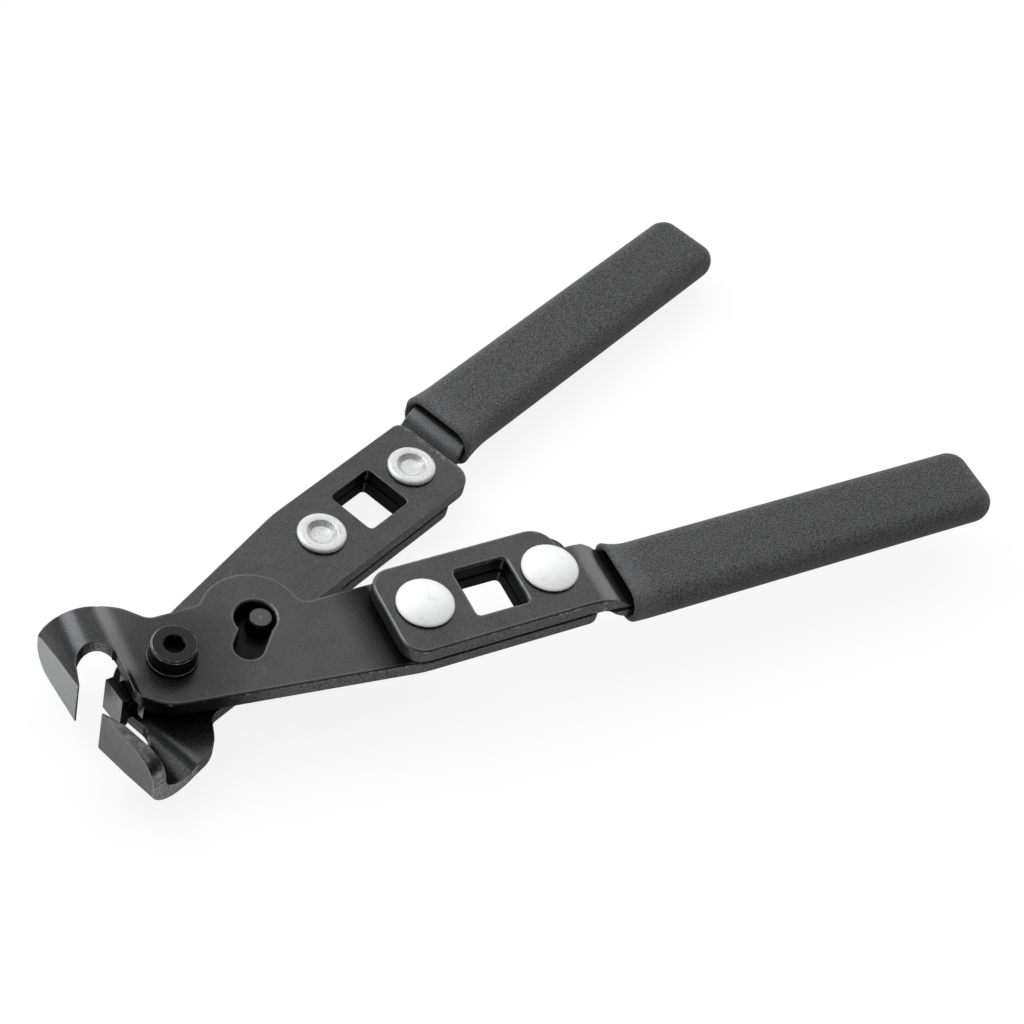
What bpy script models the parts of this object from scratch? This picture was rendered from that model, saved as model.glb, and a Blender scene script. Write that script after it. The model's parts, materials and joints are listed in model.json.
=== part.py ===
"""Ear clamp pliers: two curled-jaw levers on a pivot, a cam driven anvil between them, riveted handles.

The lower lever is the upper one turned over about the X axis, with a broader jaw root and a smaller lobe.
Lever coordinates: the pivot is the origin, X runs to the handle, Y to the other one, Z to the outer face.
"""

import math

import bmesh
import bpy
from mathutils import Vector

MM = 0.001

# Stack of plates at the pivot
PLATE = 4.0 * MM
LEVER_SPACING = 5.8 * MM
SEAT_GAP = 0.3 * MM
OPEN_ANGLE = math.radians(11.5)

# Lever, seen from its outer face
BOSS_R = 11.8 * MM
LEVER_END_X = 95.0 * MM
LEVER_INNER_Y = 5.2 * MM
LEVER_OUTER_Y = -18.3 * MM
LEVER_CORNER_R = 5.0 * MM
LEVER_HEEL_R = 3.0 * MM
BELLY_X = 51.0 * MM
BELLY_R = 30.0 * MM
LOBE_X = 20.2 * MM
LOBE_Y = 5.2 * MM
LOBE_R = {"upper": 11.5 * MM, "lower": 10.6 * MM}
LOBE_FILLET_R = 2.6 * MM
SHOULDER_X = {"upper": -0.7 * MM, "lower": 1.4 * MM}
SHOULDER_Y = 11.6 * MM
SHOULDER_R = 3.5 * MM
FRONT_FILLET_R = 1.5 * MM

# Jaw, curled towards the inner face
CREASE_X = -9.4 * MM
CURL_X = -14.0 * MM
CURL_R = 9.0 * MM
HOLLOW_X = -13.2 * MM
HOLLOW_Z = -1.1 * MM
HOLLOW_R = 5.7 * MM
HOLLOW_ROOT_R = 4.0 * MM
JAW_DEPTH = 6.9 * MM
JAW_OUTER_Y = 18.1 * MM
JAW_ROOT = {"upper": (-6.5 * MM, 17.5 * MM), "lower": (-4.0 * MM, 18.3 * MM)}
JAW_ROOT_R = 8.5 * MM
JAW_CORNER_R = 6.0 * MM
PINCH_Y = 0.35 * MM
PINCH_LAND = 0.4 * MM
FACET_X = -20.5 * MM
FACET_SKEW = math.radians(6.8)
NOTCH_X = -14.95 * MM
NOTCH_Y = {"upper": 4.1 * MM, "lower": 3.6 * MM}
NOTCH_R = 4.35 * MM

# Cam slot and its pin
PIN_R = 2.75 * MM
PIN_X = 22.5 * MM
PIN_BELOW_FACE = 0.5 * MM
CAM_TRAVEL = 4.2 * MM
CAM_CLEARANCE = 0.45 * MM
CAM_OVERRUN = 2.8 * MM
KEYHOLE_R = 4.5 * MM
KEYHOLE_SHIFT = 1.3 * MM

# Anvil on its slide
ANVIL_FRONT_X = -14.3 * MM
ANVIL_LENGTH = 2.0 * MM
ANVIL_WIDTH = 6.8 * MM
ANVIL_TOP = 5.5 * MM
ANVIL_BOTTOM = -4.3 * MM
ANVIL_BEVEL = 0.5 * MM
NECK_WIDTH = 6.0 * MM
SHANK_FRONT_X = -9.6 * MM
SHANK_REAR_X = -7.5 * MM
SHANK_WIDTH = 9.4 * MM
SLIDE_FRONT_X = -4.6 * MM
SLIDE_WIDTH = 14.4 * MM
SLIDE_TAIL_R = 5.9 * MM
SLIDE_SHOULDER_R = 3.0 * MM

# Pivot
SCREW_R = 3.0 * MM
SCREW_HEAD_R = 5.1 * MM
SCREW_HEAD_H = 3.7 * MM
EDGE = 0.4 * MM
SOCKET_FLATS = 4.0 * MM
SOCKET_TURN = math.radians(22.0)
SOCKET_DEPTH = 2.4 * MM
SOCKET_MOUTH_R = 2.45 * MM
WASHER_R = 5.5 * MM
WASHER_T = 0.9 * MM
SLEEVE_R = 4.3 * MM
NUT_FLATS = 10.0 * MM
NUT_H = 4.8 * MM
NUT_CHAMFER = 0.7 * MM
NUT_CONE_SPARE = 1.4 * MM

# Handle tang and its rivets
TANG_FRONT_X = 46.2 * MM
TANG_INNER_Y = 5.0 * MM
TANG_OUTER_Y = -18.6 * MM
TANG_REAR_X = 90.8 * MM
TANG_CORNER_R = 5.0 * MM
TANG_SHOULDER_R = 5.5 * MM
NECK_INNER_Y = -1.9 * MM
NECK_FILLET_R = 1.5 * MM
JOGGLE_LEAD = 0.7 * MM
JOGGLE_R = 5.2 * MM
JOGGLE_END_R = 9.0 * MM
BAR_WIDTH = 15.8 * MM
BAR_CORNER_R = 3.0 * MM
DRIVE_SQUARE = 12.8 * MM
DRIVE_CORNER_R = 1.1 * MM
DRIVE_X = 71.4 * MM
RIVET_FRONT_X = 55.1 * MM
RIVET_REAR_X = 85.9 * MM
RIVET_Y = -6.8 * MM
RIVET_R = 3.4 * MM
RIVET_HEAD_R = 6.5 * MM
RIVET_HEAD_H = 2.4 * MM
RIVET_TAIL_R = 5.75 * MM
RIVET_TAIL_H = 0.9 * MM
RIVET_DIMPLE_R = 3.3 * MM
RIVET_DIMPLE_H = 0.35 * MM

# Grip sleeve
GRIP_Y = -11.8 * MM
GRIP_END_X = 203.1 * MM
GRIP_OVERLAP = 3.5 * MM
GRIP_WIDTH = 19.4 * MM
GRIP_THICKNESS = 8.8 * MM
GRIP_EDGE_R = 4.1 * MM
GRIP_END_R = 5.0 * MM
GRIP_END_WALL = 6.0 * MM
GRIP_MOUTH_R = 0.9 * MM
GRIP_MOUTH_GAP = 1.4 * MM
GRIP_FLARE = 0.5 * MM
GRIP_FLARE_LENGTH = 8.0 * MM
GRIP_RAISE = 1.7 * MM

# Facets of round shapes
ARC_STEP = math.radians(11.25)
ROUND = 32
DOME_STEPS = 5
GRIP_END_STEPS = 5
GRIP_MOUTH_STEPS = 3
GRIP_FLARE_STEPS = 5
SMOOTH_ANGLE = math.radians(32.0)
WELD = 0.0001 * MM
FAR = 60.0 * MM

# Levels and places worked out from the sizes above
INNER_FACE = LEVER_SPACING / 2
OUTER_FACE = INNER_FACE + PLATE
LEVER_MIDDLE = (INNER_FACE + OUTER_FACE) / 2
TANG_FACE = OUTER_FACE + SEAT_GAP
TANG_TOP = TANG_FACE + PLATE
TANG_MIDDLE = (TANG_FACE + TANG_TOP) / 2
CURL_Z = OUTER_FACE - math.sqrt(CURL_R**2 - (CREASE_X - CURL_X) ** 2)
SLIDE_THICKNESS = LEVER_SPACING - 2 * SEAT_GAP
WASHER_SEAT = OUTER_FACE + SEAT_GAP
HEAD_SEAT = WASHER_SEAT + WASHER_T + SEAT_GAP
JOGGLE_X = LEVER_END_X - JOGGLE_LEAD
JOGGLE_DROP = TANG_MIDDLE - LEVER_MIDDLE
JOGGLE_ANGLE = math.acos(1 - JOGGLE_DROP / (JOGGLE_R + JOGGLE_END_R))
JOGGLE_END_X = JOGGLE_X + (JOGGLE_R + JOGGLE_END_R) * math.sin(JOGGLE_ANGLE)
GRIP_MOUTH_X = JOGGLE_END_X - GRIP_OVERLAP
BAR_END_X = GRIP_END_X - GRIP_END_WALL

# Finish: colour, roughness and metallic value
BLACK_STEEL = ((0.055, 0.056, 0.060), 0.45, 0.6)
DARK_STEEL = ((0.045, 0.045, 0.048), 0.38, 0.7)
BRIGHT_STEEL = ((0.62, 0.63, 0.65), 0.35, 1.0)
GREY_FOAM = ((0.070, 0.070, 0.073), 0.95, 0.0)


def arc(centre, radius, start, end):
    """Points of an arc in a plane, with both ends, between two angles in radians."""
    steps = max(2, math.ceil(abs(end - start) / ARC_STEP))
    points = []
    for i in range(steps + 1):
        angle = start + (end - start) * i / steps
        points.append((centre[0] + radius * math.cos(angle), centre[1] + radius * math.sin(angle)))
    return points


def polygon(centre, radius, sides, turn):
    """Corners of a regular polygon, the first one at the angle of the turn."""
    corners = []
    for i in range(sides):
        angle = turn + math.tau * i / sides
        corners.append((centre[0] + radius * math.cos(angle), centre[1] + radius * math.sin(angle)))
    return corners


def circle(centre, radius):
    return polygon(centre, radius, ROUND, 0.0)


def stadium(start, end, radius):
    """A slot's outline round two centres."""
    heading = math.atan2(end[1] - start[1], end[0] - start[0])
    quarter = math.pi / 2
    return arc(end, radius, heading - quarter, heading + quarter) + arc(
        start, radius, heading + quarter, heading + 3 * quarter
    )


def sharp(points):
    """The points as corners that get no fillet."""
    return [(x, y, 0) for x, y in points]


def rounded(corners):
    """A closed outline from corners (x, y, fillet radius)."""
    outline = []
    for i, (x, y, radius) in enumerate(corners):
        corner = Vector((x, y))
        if radius == 0:
            outline.append((x, y))
            continue
        before = (Vector(corners[i - 1][:2]) - corner).normalized()
        after = (Vector(corners[(i + 1) % len(corners)][:2]) - corner).normalized()
        half = before.angle(after) / 2
        centre = corner + (before + after).normalized() * radius / math.sin(half)
        spoke = corner + before * radius / math.tan(half) - centre
        turn = -spoke.angle_signed(corner + after * radius / math.tan(half) - centre)
        start = math.atan2(spoke.y, spoke.x)
        outline += arc(centre, radius, start, start + turn)
    return outline


def mesh_from(bm, name):
    bmesh.ops.remove_doubles(bm, verts=bm.verts, dist=WELD)
    bmesh.ops.recalc_face_normals(bm, faces=bm.faces)
    mesh = bpy.data.meshes.new(name)
    bm.to_mesh(mesh)
    bm.free()
    return mesh


def prism(name, loops, low, high, along="Z"):
    """A solid with one outline, and any holes after it, extruded along an axis from low to high."""
    place = {
        "X": lambda u, v, w: (w, u, v),
        "Y": lambda u, v, w: (u, w, v),
        "Z": lambda u, v, w: (u, v, w),
    }[along]
    bm = bmesh.new()
    edges = []
    for loop in loops:
        corners = [bm.verts.new(place(u, v, low)) for u, v in loop]
        for first, second in zip(corners, corners[1:] + corners[:1]):
            edges.append(bm.edges.new((first, second)))
    bmesh.ops.triangle_fill(bm, use_beauty=True, edges=edges)
    grown = bmesh.ops.extrude_face_region(bm, geom=bm.faces[:])
    moved = [item for item in grown["geom"] if isinstance(item, bmesh.types.BMVert)]
    bmesh.ops.translate(bm, verts=moved, vec=place(0, 0, high - low))
    return mesh_from(bm, name)


def turned(name, profile, closed=False):
    """A solid of revolution about Z from (radius, z) points. A closed profile makes a ring."""
    bm = bmesh.new()
    points = [bm.verts.new((radius, 0, z)) for radius, z in profile]
    edges = [bm.edges.new(pair) for pair in zip(points, points[1:])]
    if closed:
        edges.append(bm.edges.new((points[-1], points[0])))
    bmesh.ops.spin(bm, geom=points + edges, axis=(0, 0, 1), angle=math.tau, steps=ROUND)
    return mesh_from(bm, name)


def combined(mesh, tool, operation):
    """The mesh after one Boolean with the tool mesh, which is used up."""
    target_object = bpy.data.objects.new("target", mesh)
    tool_object = bpy.data.objects.new("tool", tool)
    for helper in (target_object, tool_object):
        bpy.context.scene.collection.objects.link(helper)
    modifier = target_object.modifiers.new("cut", "BOOLEAN")
    modifier.operation = operation
    modifier.object = tool_object
    modifier.solver = "EXACT"
    graph = bpy.context.evaluated_depsgraph_get()
    result = bpy.data.meshes.new_from_object(target_object.evaluated_get(graph))
    for helper in (target_object, tool_object):
        bpy.data.objects.remove(helper)
    bpy.data.meshes.remove(tool)
    return result


def rectangle(centre, half_width, half_height, radius):
    """A rectangle with round corners."""
    signs = ((-1, -1), (1, -1), (1, 1), (-1, 1))
    return rounded([(centre[0] + u * half_width, centre[1] + v * half_height, radius) for u, v in signs])


def handle_holes():
    """The square drive hole and the two rivet holes, which go through the lever and its tang."""
    half = DRIVE_SQUARE / 2
    holes = [rectangle((DRIVE_X, RIVET_Y), half, half, DRIVE_CORNER_R)]
    for x in (RIVET_FRONT_X, RIVET_REAR_X):
        holes.append(circle((x, RIVET_Y), RIVET_R + SEAT_GAP))
    return holes


def lobe_edge(side):
    """The raised lobe round the cam slot, from jaw to handle, with a hollow fillet at each end."""
    fillets = []
    lobe_r = LOBE_R[side]
    for way, level in ((-1, SHOULDER_Y), (1, LEVER_INNER_Y)):
        rise = level + LOBE_FILLET_R - LOBE_Y
        reach = way * math.sqrt((lobe_r + LOBE_FILLET_R) ** 2 - rise**2)
        fillets.append(((LOBE_X + reach, level + LOBE_FILLET_R), math.atan2(rise, reach)))
    (jaw_centre, jaw_angle), (handle_centre, handle_angle) = fillets
    down = 1.5 * math.pi
    points = arc(jaw_centre, LOBE_FILLET_R, down, jaw_angle + math.pi)
    points += arc((LOBE_X, LOBE_Y), lobe_r, jaw_angle, handle_angle)[1:-1]
    points += arc(handle_centre, LOBE_FILLET_R, handle_angle + math.pi, down)
    return points


def lever_plan(side):
    """One lever's outline, from the handle end along its outer edge to the jaw and back inside."""
    belly = Vector((BELLY_X, LEVER_OUTER_Y))
    touch = math.atan2(belly.y, belly.x) - math.acos(BOSS_R / belly.length)
    front_x = NOTCH_X + NOTCH_R
    front_y = -math.sqrt(BOSS_R**2 - front_x**2)
    front = math.atan2(front_y, front_x)
    facet_outer_x = FACET_X - (JAW_OUTER_Y - PINCH_Y) * math.tan(FACET_SKEW)
    corners = [
        (LEVER_END_X, LEVER_INNER_Y, LEVER_CORNER_R),
        (LEVER_END_X, LEVER_OUTER_Y, LEVER_HEEL_R),
        (BELLY_X, LEVER_OUTER_Y, BELLY_R),
    ]
    corners += sharp(arc((0, 0), BOSS_R, touch, front)[:-1])
    corners.append((front_x, front_y, FRONT_FILLET_R))
    corners += sharp(arc((NOTCH_X, NOTCH_Y[side]), NOTCH_R, 0, math.pi))
    corners += [
        (FACET_X + PINCH_LAND, PINCH_Y, 0),
        (FACET_X, PINCH_Y, 0),
        (facet_outer_x, JAW_OUTER_Y, 0),
        (*JAW_ROOT[side], JAW_ROOT_R),
        (SHOULDER_X[side], SHOULDER_Y, SHOULDER_R),
    ]
    corners += sharp(lobe_edge(side))
    return rounded(corners)


def lever_profile():
    """The lever's section along X: a plate with its front curled over, and a hollow inside the curl."""
    crease = math.atan2(OUTER_FACE - CURL_Z, CREASE_X - CURL_X)
    hollow = (HOLLOW_X, HOLLOW_Z)
    root_z = INNER_FACE + HOLLOW_ROOT_R
    root = math.asin((root_z - HOLLOW_Z) / (HOLLOW_R + HOLLOW_ROOT_R))
    root_x = HOLLOW_X + (HOLLOW_R + HOLLOW_ROOT_R) * math.cos(root)
    profile = [(LEVER_END_X + FAR, INNER_FACE), (LEVER_END_X + FAR, OUTER_FACE)]
    profile += arc((CURL_X, CURL_Z), CURL_R, crease, math.pi)
    profile += [(CURL_X - CURL_R, -JAW_DEPTH), (HOLLOW_X - HOLLOW_R, -JAW_DEPTH)]
    profile += arc(hollow, HOLLOW_R, math.pi, root)
    profile += arc((root_x, root_z), HOLLOW_ROOT_R, root - math.pi, -math.pi / 2)[1:]
    return profile


def jaw_corner_cutter():
    """Rounds the corner where the jaw's free edge meets its outer side."""
    centre = (JAW_OUTER_Y - JAW_CORNER_R, JAW_CORNER_R - JAW_DEPTH)
    outline = arc(centre, JAW_CORNER_R, -math.pi / 2, 0)
    outline += [(centre[0] + FAR, centre[1]), (centre[0] + FAR, -FAR), (centre[0], -FAR)]
    return prism("jaw_corner_cutter", [outline], CURL_X - FAR, CREASE_X, along="X")


def pin_in_lever(closing):
    """The pin's place in lever coordinates, with the levers closed by this share of their swing."""
    reach = PIN_X - CAM_TRAVEL * closing
    angle = OPEN_ANGLE * (1 - closing)
    return Vector((reach * math.cos(angle), reach * math.sin(angle)))


def cam_slot_cutters():
    """The pin's slot, and the round keyhole at its open end."""
    start = pin_in_lever(0)
    end = pin_in_lever(1)
    end += (end - start).normalized() * CAM_OVERRUN
    slot = stadium(start, end, PIN_R + CAM_CLEARANCE)
    keyhole = circle((start.x - KEYHOLE_SHIFT, start.y), KEYHOLE_R)
    return [prism("cam_cutter", [outline], -FAR, FAR) for outline in (slot, keyhole)]


def lever_mesh(side):
    holes = handle_holes() + [circle((0, 0), SCREW_R + SEAT_GAP)]
    lever = prism("jaw_lever", [lever_plan(side)] + holes, -FAR, FAR)
    section = prism("lever_section", [lever_profile()], -FAR, FAR, along="Y")
    lever = combined(lever, section, "INTERSECT")
    for cutter in [jaw_corner_cutter()] + cam_slot_cutters():
        lever = combined(lever, cutter, "DIFFERENCE")
    return lever


def tang_plan():
    bar_inner = GRIP_Y + BAR_WIDTH / 2
    bar_outer = GRIP_Y - BAR_WIDTH / 2
    return rounded([
        (TANG_FRONT_X, TANG_INNER_Y, TANG_CORNER_R),
        (TANG_FRONT_X, TANG_OUTER_Y, TANG_CORNER_R),
        (TANG_REAR_X, TANG_OUTER_Y, 0),
        (JOGGLE_END_X, bar_outer, 0),
        (BAR_END_X, bar_outer, BAR_CORNER_R),
        (BAR_END_X, bar_inner, BAR_CORNER_R),
        (JOGGLE_END_X, bar_inner, 0),
        (JOGGLE_X, NECK_INNER_Y, 0),
        (TANG_REAR_X, NECK_INNER_Y, NECK_FILLET_R),
        (TANG_REAR_X, TANG_INNER_Y, TANG_SHOULDER_R),
    ])


def tang_profile():
    """The tang's section along X: riveted plate, two bends of the joggle, and the bar."""
    middle = [(TANG_FRONT_X - FAR, TANG_MIDDLE, 0.0)]
    steps = math.ceil(JOGGLE_ANGLE / ARC_STEP)
    slopes = [JOGGLE_ANGLE * i / steps for i in range(steps + 1)]
    for slope in slopes:
        middle.append((
            JOGGLE_X + JOGGLE_R * math.sin(slope),
            TANG_MIDDLE - JOGGLE_R * (1 - math.cos(slope)),
            slope,
        ))
    for slope in reversed(slopes[:-1]):
        middle.append((
            JOGGLE_END_X - JOGGLE_END_R * math.sin(slope),
            LEVER_MIDDLE + JOGGLE_END_R * (1 - math.cos(slope)),
            slope,
        ))
    middle.append((BAR_END_X + FAR, LEVER_MIDDLE, 0.0))
    faces = []
    for side in (PLATE / 2, -PLATE / 2):
        faces.append([(x + side * math.sin(slope), z + side * math.cos(slope)) for x, z, slope in middle])
    return faces[0] + faces[1][::-1]


def tang_mesh():
    tang = prism("handle_tang", [tang_plan()] + handle_holes(), -FAR, FAR)
    section = prism("tang_section", [tang_profile()], -FAR, FAR, along="Y")
    return combined(tang, section, "INTERSECT")


def rivet_mesh():
    """A rivet on its own axis: hollowed flat tail, shank, and domed head."""
    tail_seat = INNER_FACE - SEAT_GAP
    tail_end = tail_seat - RIVET_TAIL_H
    head_seat = TANG_TOP + SEAT_GAP
    dome = RIVET_HEAD_H - EDGE
    dome_r = (RIVET_HEAD_R**2 + dome**2) / (2 * dome)
    dome_half = math.asin(RIVET_HEAD_R / dome_r)
    profile = [
        (0, tail_end + RIVET_DIMPLE_H),
        (RIVET_DIMPLE_R - EDGE, tail_end + RIVET_DIMPLE_H),
        (RIVET_DIMPLE_R, tail_end),
        (RIVET_TAIL_R - EDGE, tail_end),
        (RIVET_TAIL_R, tail_end + EDGE),
        (RIVET_TAIL_R, tail_seat),
        (RIVET_R, tail_seat),
        (RIVET_R, head_seat),
        (RIVET_HEAD_R, head_seat),
    ]
    for i in range(DOME_STEPS):
        angle = dome_half * (1 - i / DOME_STEPS)
        fall = dome_r * (1 - math.cos(angle))
        profile.append((dome_r * math.sin(angle), head_seat + RIVET_HEAD_H - fall))
    profile.append((0, head_seat + RIVET_HEAD_H))
    return turned("tang_rivet", profile)


def quarter_steps(steps):
    return [math.pi / 2 * i / steps for i in range(steps + 1)]


def grip_ring(x, half_width, half_thickness):
    """The grip's section at x, which is raised and flared near the mouth."""
    near = max(0.0, 1.0 - (x - GRIP_MOUTH_X) / GRIP_FLARE_LENGTH) ** 2
    middle = LEVER_MIDDLE + GRIP_RAISE * near
    radius = min(GRIP_EDGE_R, half_thickness - EDGE / 2)
    flare = GRIP_FLARE * near
    section = rectangle((GRIP_Y, middle), half_width + flare, half_thickness + flare, radius)
    return [(x, y, z) for y, z in section]


def grip_outside():
    half_width = GRIP_WIDTH / 2
    half_thickness = GRIP_THICKNESS / 2
    rings = []
    for angle in quarter_steps(GRIP_MOUTH_STEPS)[::-1]:
        fall = GRIP_MOUTH_R * (1 - math.cos(angle))
        x = GRIP_MOUTH_X + GRIP_MOUTH_R * (1 - math.sin(angle))
        rings.append(grip_ring(x, half_width - fall, half_thickness - fall))
    flare = GRIP_FLARE_LENGTH - GRIP_MOUTH_R
    for i in range(1, GRIP_FLARE_STEPS + 1):
        x = GRIP_MOUTH_X + GRIP_MOUTH_R + flare * i / GRIP_FLARE_STEPS
        rings.append(grip_ring(x, half_width, half_thickness))
    for angle in quarter_steps(GRIP_END_STEPS):
        fall = 1 - math.cos(angle)
        x = GRIP_END_X - GRIP_END_R * (1 - math.sin(angle))
        rings.append(grip_ring(x, half_width - GRIP_END_R * fall, half_thickness - GRIP_EDGE_R * fall))
    bm = bmesh.new()
    loops = [[bm.verts.new(point) for point in ring] for ring in rings]
    for near, far in zip(loops, loops[1:]):
        for i in range(len(near)):
            bm.faces.new((near[i - 1], near[i], far[i], far[i - 1]))
    bm.faces.new(loops[0])
    bm.faces.new(loops[-1])
    return mesh_from(bm, "grip_sleeve")


def grip_mesh():
    """The sleeve, with a pocket for the bar and a taller opening at its mouth for the joggle's end."""
    inner = GRIP_Y + BAR_WIDTH / 2 + SEAT_GAP
    outer = GRIP_Y - BAR_WIDTH / 2 - SEAT_GAP
    bar_end = BAR_END_X + SEAT_GAP
    joggle_end = JOGGLE_END_X + SEAT_GAP
    neck = [(joggle_end, inner, 0), (JOGGLE_X, NECK_INNER_Y + SEAT_GAP, 0), (JOGGLE_X, outer, 0)]
    pocket = rounded([(bar_end, outer, BAR_CORNER_R), (bar_end, inner, BAR_CORNER_R)] + neck)
    opening = rounded([(joggle_end, outer, 0)] + neck)
    low = INNER_FACE - SEAT_GAP
    grip = combined(grip_outside(), prism("pocket", [pocket], low, OUTER_FACE + SEAT_GAP), "DIFFERENCE")
    return combined(grip, prism("opening", [opening], low, OUTER_FACE + GRIP_MOUTH_GAP), "DIFFERENCE")


def slide_mesh():
    """The anvil head and its slide, slotted for the pivot sleeve and bored for the cam pin."""
    neck_x = ANVIL_FRONT_X + ANVIL_LENGTH
    tail_x = PIN_X + SLIDE_TAIL_R
    side = [
        (ANVIL_FRONT_X, ANVIL_WIDTH / 2, EDGE),
        (neck_x, ANVIL_WIDTH / 2, 0),
        (neck_x, NECK_WIDTH / 2, 0),
        (SHANK_FRONT_X, NECK_WIDTH / 2, 0),
        (SHANK_FRONT_X, SHANK_WIDTH / 2, EDGE),
        (SHANK_REAR_X, SHANK_WIDTH / 2, 0),
        (SLIDE_FRONT_X, SLIDE_WIDTH / 2, SLIDE_SHOULDER_R),
        (tail_x, SLIDE_TAIL_R, SLIDE_TAIL_R - EDGE),
    ]
    plan = rounded(side + [(x, -y, radius) for x, y, radius in reversed(side)])
    pivot_slot = stadium((0, 0), (CAM_TRAVEL, 0), SLEEVE_R + SEAT_GAP)
    pin_hole = circle((PIN_X, 0), PIN_R + SEAT_GAP)
    slide = prism("anvil_slide", [plan, pivot_slot, pin_hole], -FAR, FAR)
    half_slide = SLIDE_THICKNESS / 2
    profile = [
        (ANVIL_FRONT_X - FAR, ANVIL_BOTTOM),
        (ANVIL_FRONT_X - FAR, ANVIL_TOP),
        (ANVIL_FRONT_X, ANVIL_TOP),
        (neck_x, ANVIL_TOP - ANVIL_BEVEL),
        (neck_x, half_slide),
        (tail_x + FAR, half_slide),
        (tail_x + FAR, -half_slide),
        (neck_x, -half_slide),
        (neck_x, ANVIL_BOTTOM + ANVIL_BEVEL),
        (ANVIL_FRONT_X, ANVIL_BOTTOM),
    ]
    section = prism("slide_section", [profile], -FAR, FAR, along="Y")
    return combined(slide, section, "INTERSECT")


def pin_mesh():
    half = OUTER_FACE - PIN_BELOW_FACE
    return turned("cam_pin", [
        (0, -half),
        (PIN_R - EDGE, -half),
        (PIN_R, EDGE - half),
        (PIN_R, half - EDGE),
        (PIN_R - EDGE, half),
        (0, half),
    ])


def screw_mesh():
    """The pivot screw, with a hexagon socket in its head."""
    head_top = HEAD_SEAT + SCREW_HEAD_H
    end = -HEAD_SEAT - NUT_H
    screw = turned("pivot_screw", [
        (0, end),
        (SCREW_R - EDGE, end),
        (SCREW_R, end + EDGE),
        (SCREW_R, HEAD_SEAT),
        (SCREW_HEAD_R, HEAD_SEAT),
        (SCREW_HEAD_R, head_top - EDGE),
        (SCREW_HEAD_R - EDGE, head_top),
        (0, head_top),
    ])
    hexagon = polygon((0, 0), SOCKET_FLATS / math.sqrt(3), 6, SOCKET_TURN)
    socket = prism("socket", [hexagon], head_top - SOCKET_DEPTH, head_top + SOCKET_DEPTH)
    mouth = turned("socket_mouth", [
        (0, head_top - SOCKET_MOUTH_R),
        (2 * SOCKET_MOUTH_R, head_top + SOCKET_MOUTH_R),
        (0, head_top + SOCKET_MOUTH_R),
    ])
    return combined(combined(screw, socket, "DIFFERENCE"), mouth, "DIFFERENCE")


def ring_mesh(name, outer, low, high):
    bore = SCREW_R + SEAT_GAP
    return turned(name, [(bore, low), (outer, low), (outer, high), (bore, high)], closed=True)


def nut_mesh():
    """A hexagon nut with both faces chamfered to a cone."""
    low = -HEAD_SEAT - NUT_H
    high = -HEAD_SEAT
    corner_r = NUT_FLATS / math.sqrt(3)
    hexagon = polygon((0, 0), corner_r, 6, 0.0)
    nut = prism("pivot_nut", [hexagon, circle((0, 0), SCREW_R + SEAT_GAP)], low, high)
    face_r = NUT_FLATS / 2
    spare = NUT_CONE_SPARE
    cone = turned("nut_cone", [
        (0, low - spare),
        (face_r - spare, low - spare),
        (corner_r + spare, low + NUT_CHAMFER + spare),
        (corner_r + spare, high - NUT_CHAMFER - spare),
        (face_r - spare, high + spare),
        (0, high + spare),
    ])
    return combined(nut, cone, "INTERSECT")


def finish(name, look):
    colour, roughness, metallic = look
    material = bpy.data.materials.new(name)
    material.use_nodes = True
    shader = material.node_tree.nodes["Principled BSDF"]
    shader.inputs["Base Color"].default_value = (*colour, 1.0)
    shader.inputs["Roughness"].default_value = roughness
    shader.inputs["Metallic"].default_value = metallic
    return material


def add_piece(name, mesh, parent, look):
    """Puts a mesh in the scene as one named piece with its own material."""
    mesh.name = name
    mesh.shade_smooth()
    mesh.set_sharp_from_angle(angle=SMOOTH_ANGLE)
    mesh.materials.clear()
    mesh.materials.append(finish(name, look))
    piece = bpy.data.objects.new(name, mesh)
    bpy.context.scene.collection.objects.link(piece)
    piece.parent = parent
    return piece


def add_joint(name, parent, rotation=(0, 0, 0)):
    joint = bpy.data.objects.new(name, None)
    bpy.context.scene.collection.objects.link(joint)
    joint.parent = parent
    joint.rotation_euler = rotation
    return joint


def add_handles(root):
    """Both levers with their tangs, rivets and grips, each on its own joint at the pivot."""
    tang = tang_mesh()
    grip = grip_mesh()
    rivet = rivet_mesh()
    turns = {"upper": (0, 0, -OPEN_ANGLE), "lower": (math.pi, 0, OPEN_ANGLE)}
    for side, turn in turns.items():
        joint = add_joint(f"{side}_lever_joint", root, turn)
        add_piece(f"jaw_lever_{side}", lever_mesh(side), joint, BLACK_STEEL)
        add_piece(f"handle_tang_{side}", tang.copy(), joint, BLACK_STEEL)
        add_piece(f"grip_sleeve_{side}", grip.copy(), joint, GREY_FOAM)
        for end, x in (("front", RIVET_FRONT_X), ("rear", RIVET_REAR_X)):
            piece = add_piece(f"tang_rivet_{side}_{end}", rivet.copy(), joint, BRIGHT_STEEL)
            piece.location = (x, RIVET_Y, 0)


def add_anvil(root):
    joint = add_joint("anvil_slide_joint", root)
    add_piece("anvil_slide", slide_mesh(), joint, DARK_STEEL)
    pin = add_piece("cam_pin", pin_mesh(), joint, DARK_STEEL)
    pin.location = (PIN_X, 0, 0)


def add_pivot(root):
    sleeve_end = INNER_FACE - SEAT_GAP
    washer_top = WASHER_SEAT + WASHER_T
    add_piece("pivot_screw", screw_mesh(), root, DARK_STEEL)
    rings = {
        "pivot_washer_top": (WASHER_R, WASHER_SEAT, washer_top),
        "pivot_washer_bottom": (WASHER_R, -washer_top, -WASHER_SEAT),
        "pivot_sleeve": (SLEEVE_R, -sleeve_end, sleeve_end),
    }
    for name, sizes in rings.items():
        add_piece(name, ring_mesh(name, *sizes), root, DARK_STEEL)
    add_piece("pivot_nut", nut_mesh(), root, DARK_STEEL)


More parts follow.
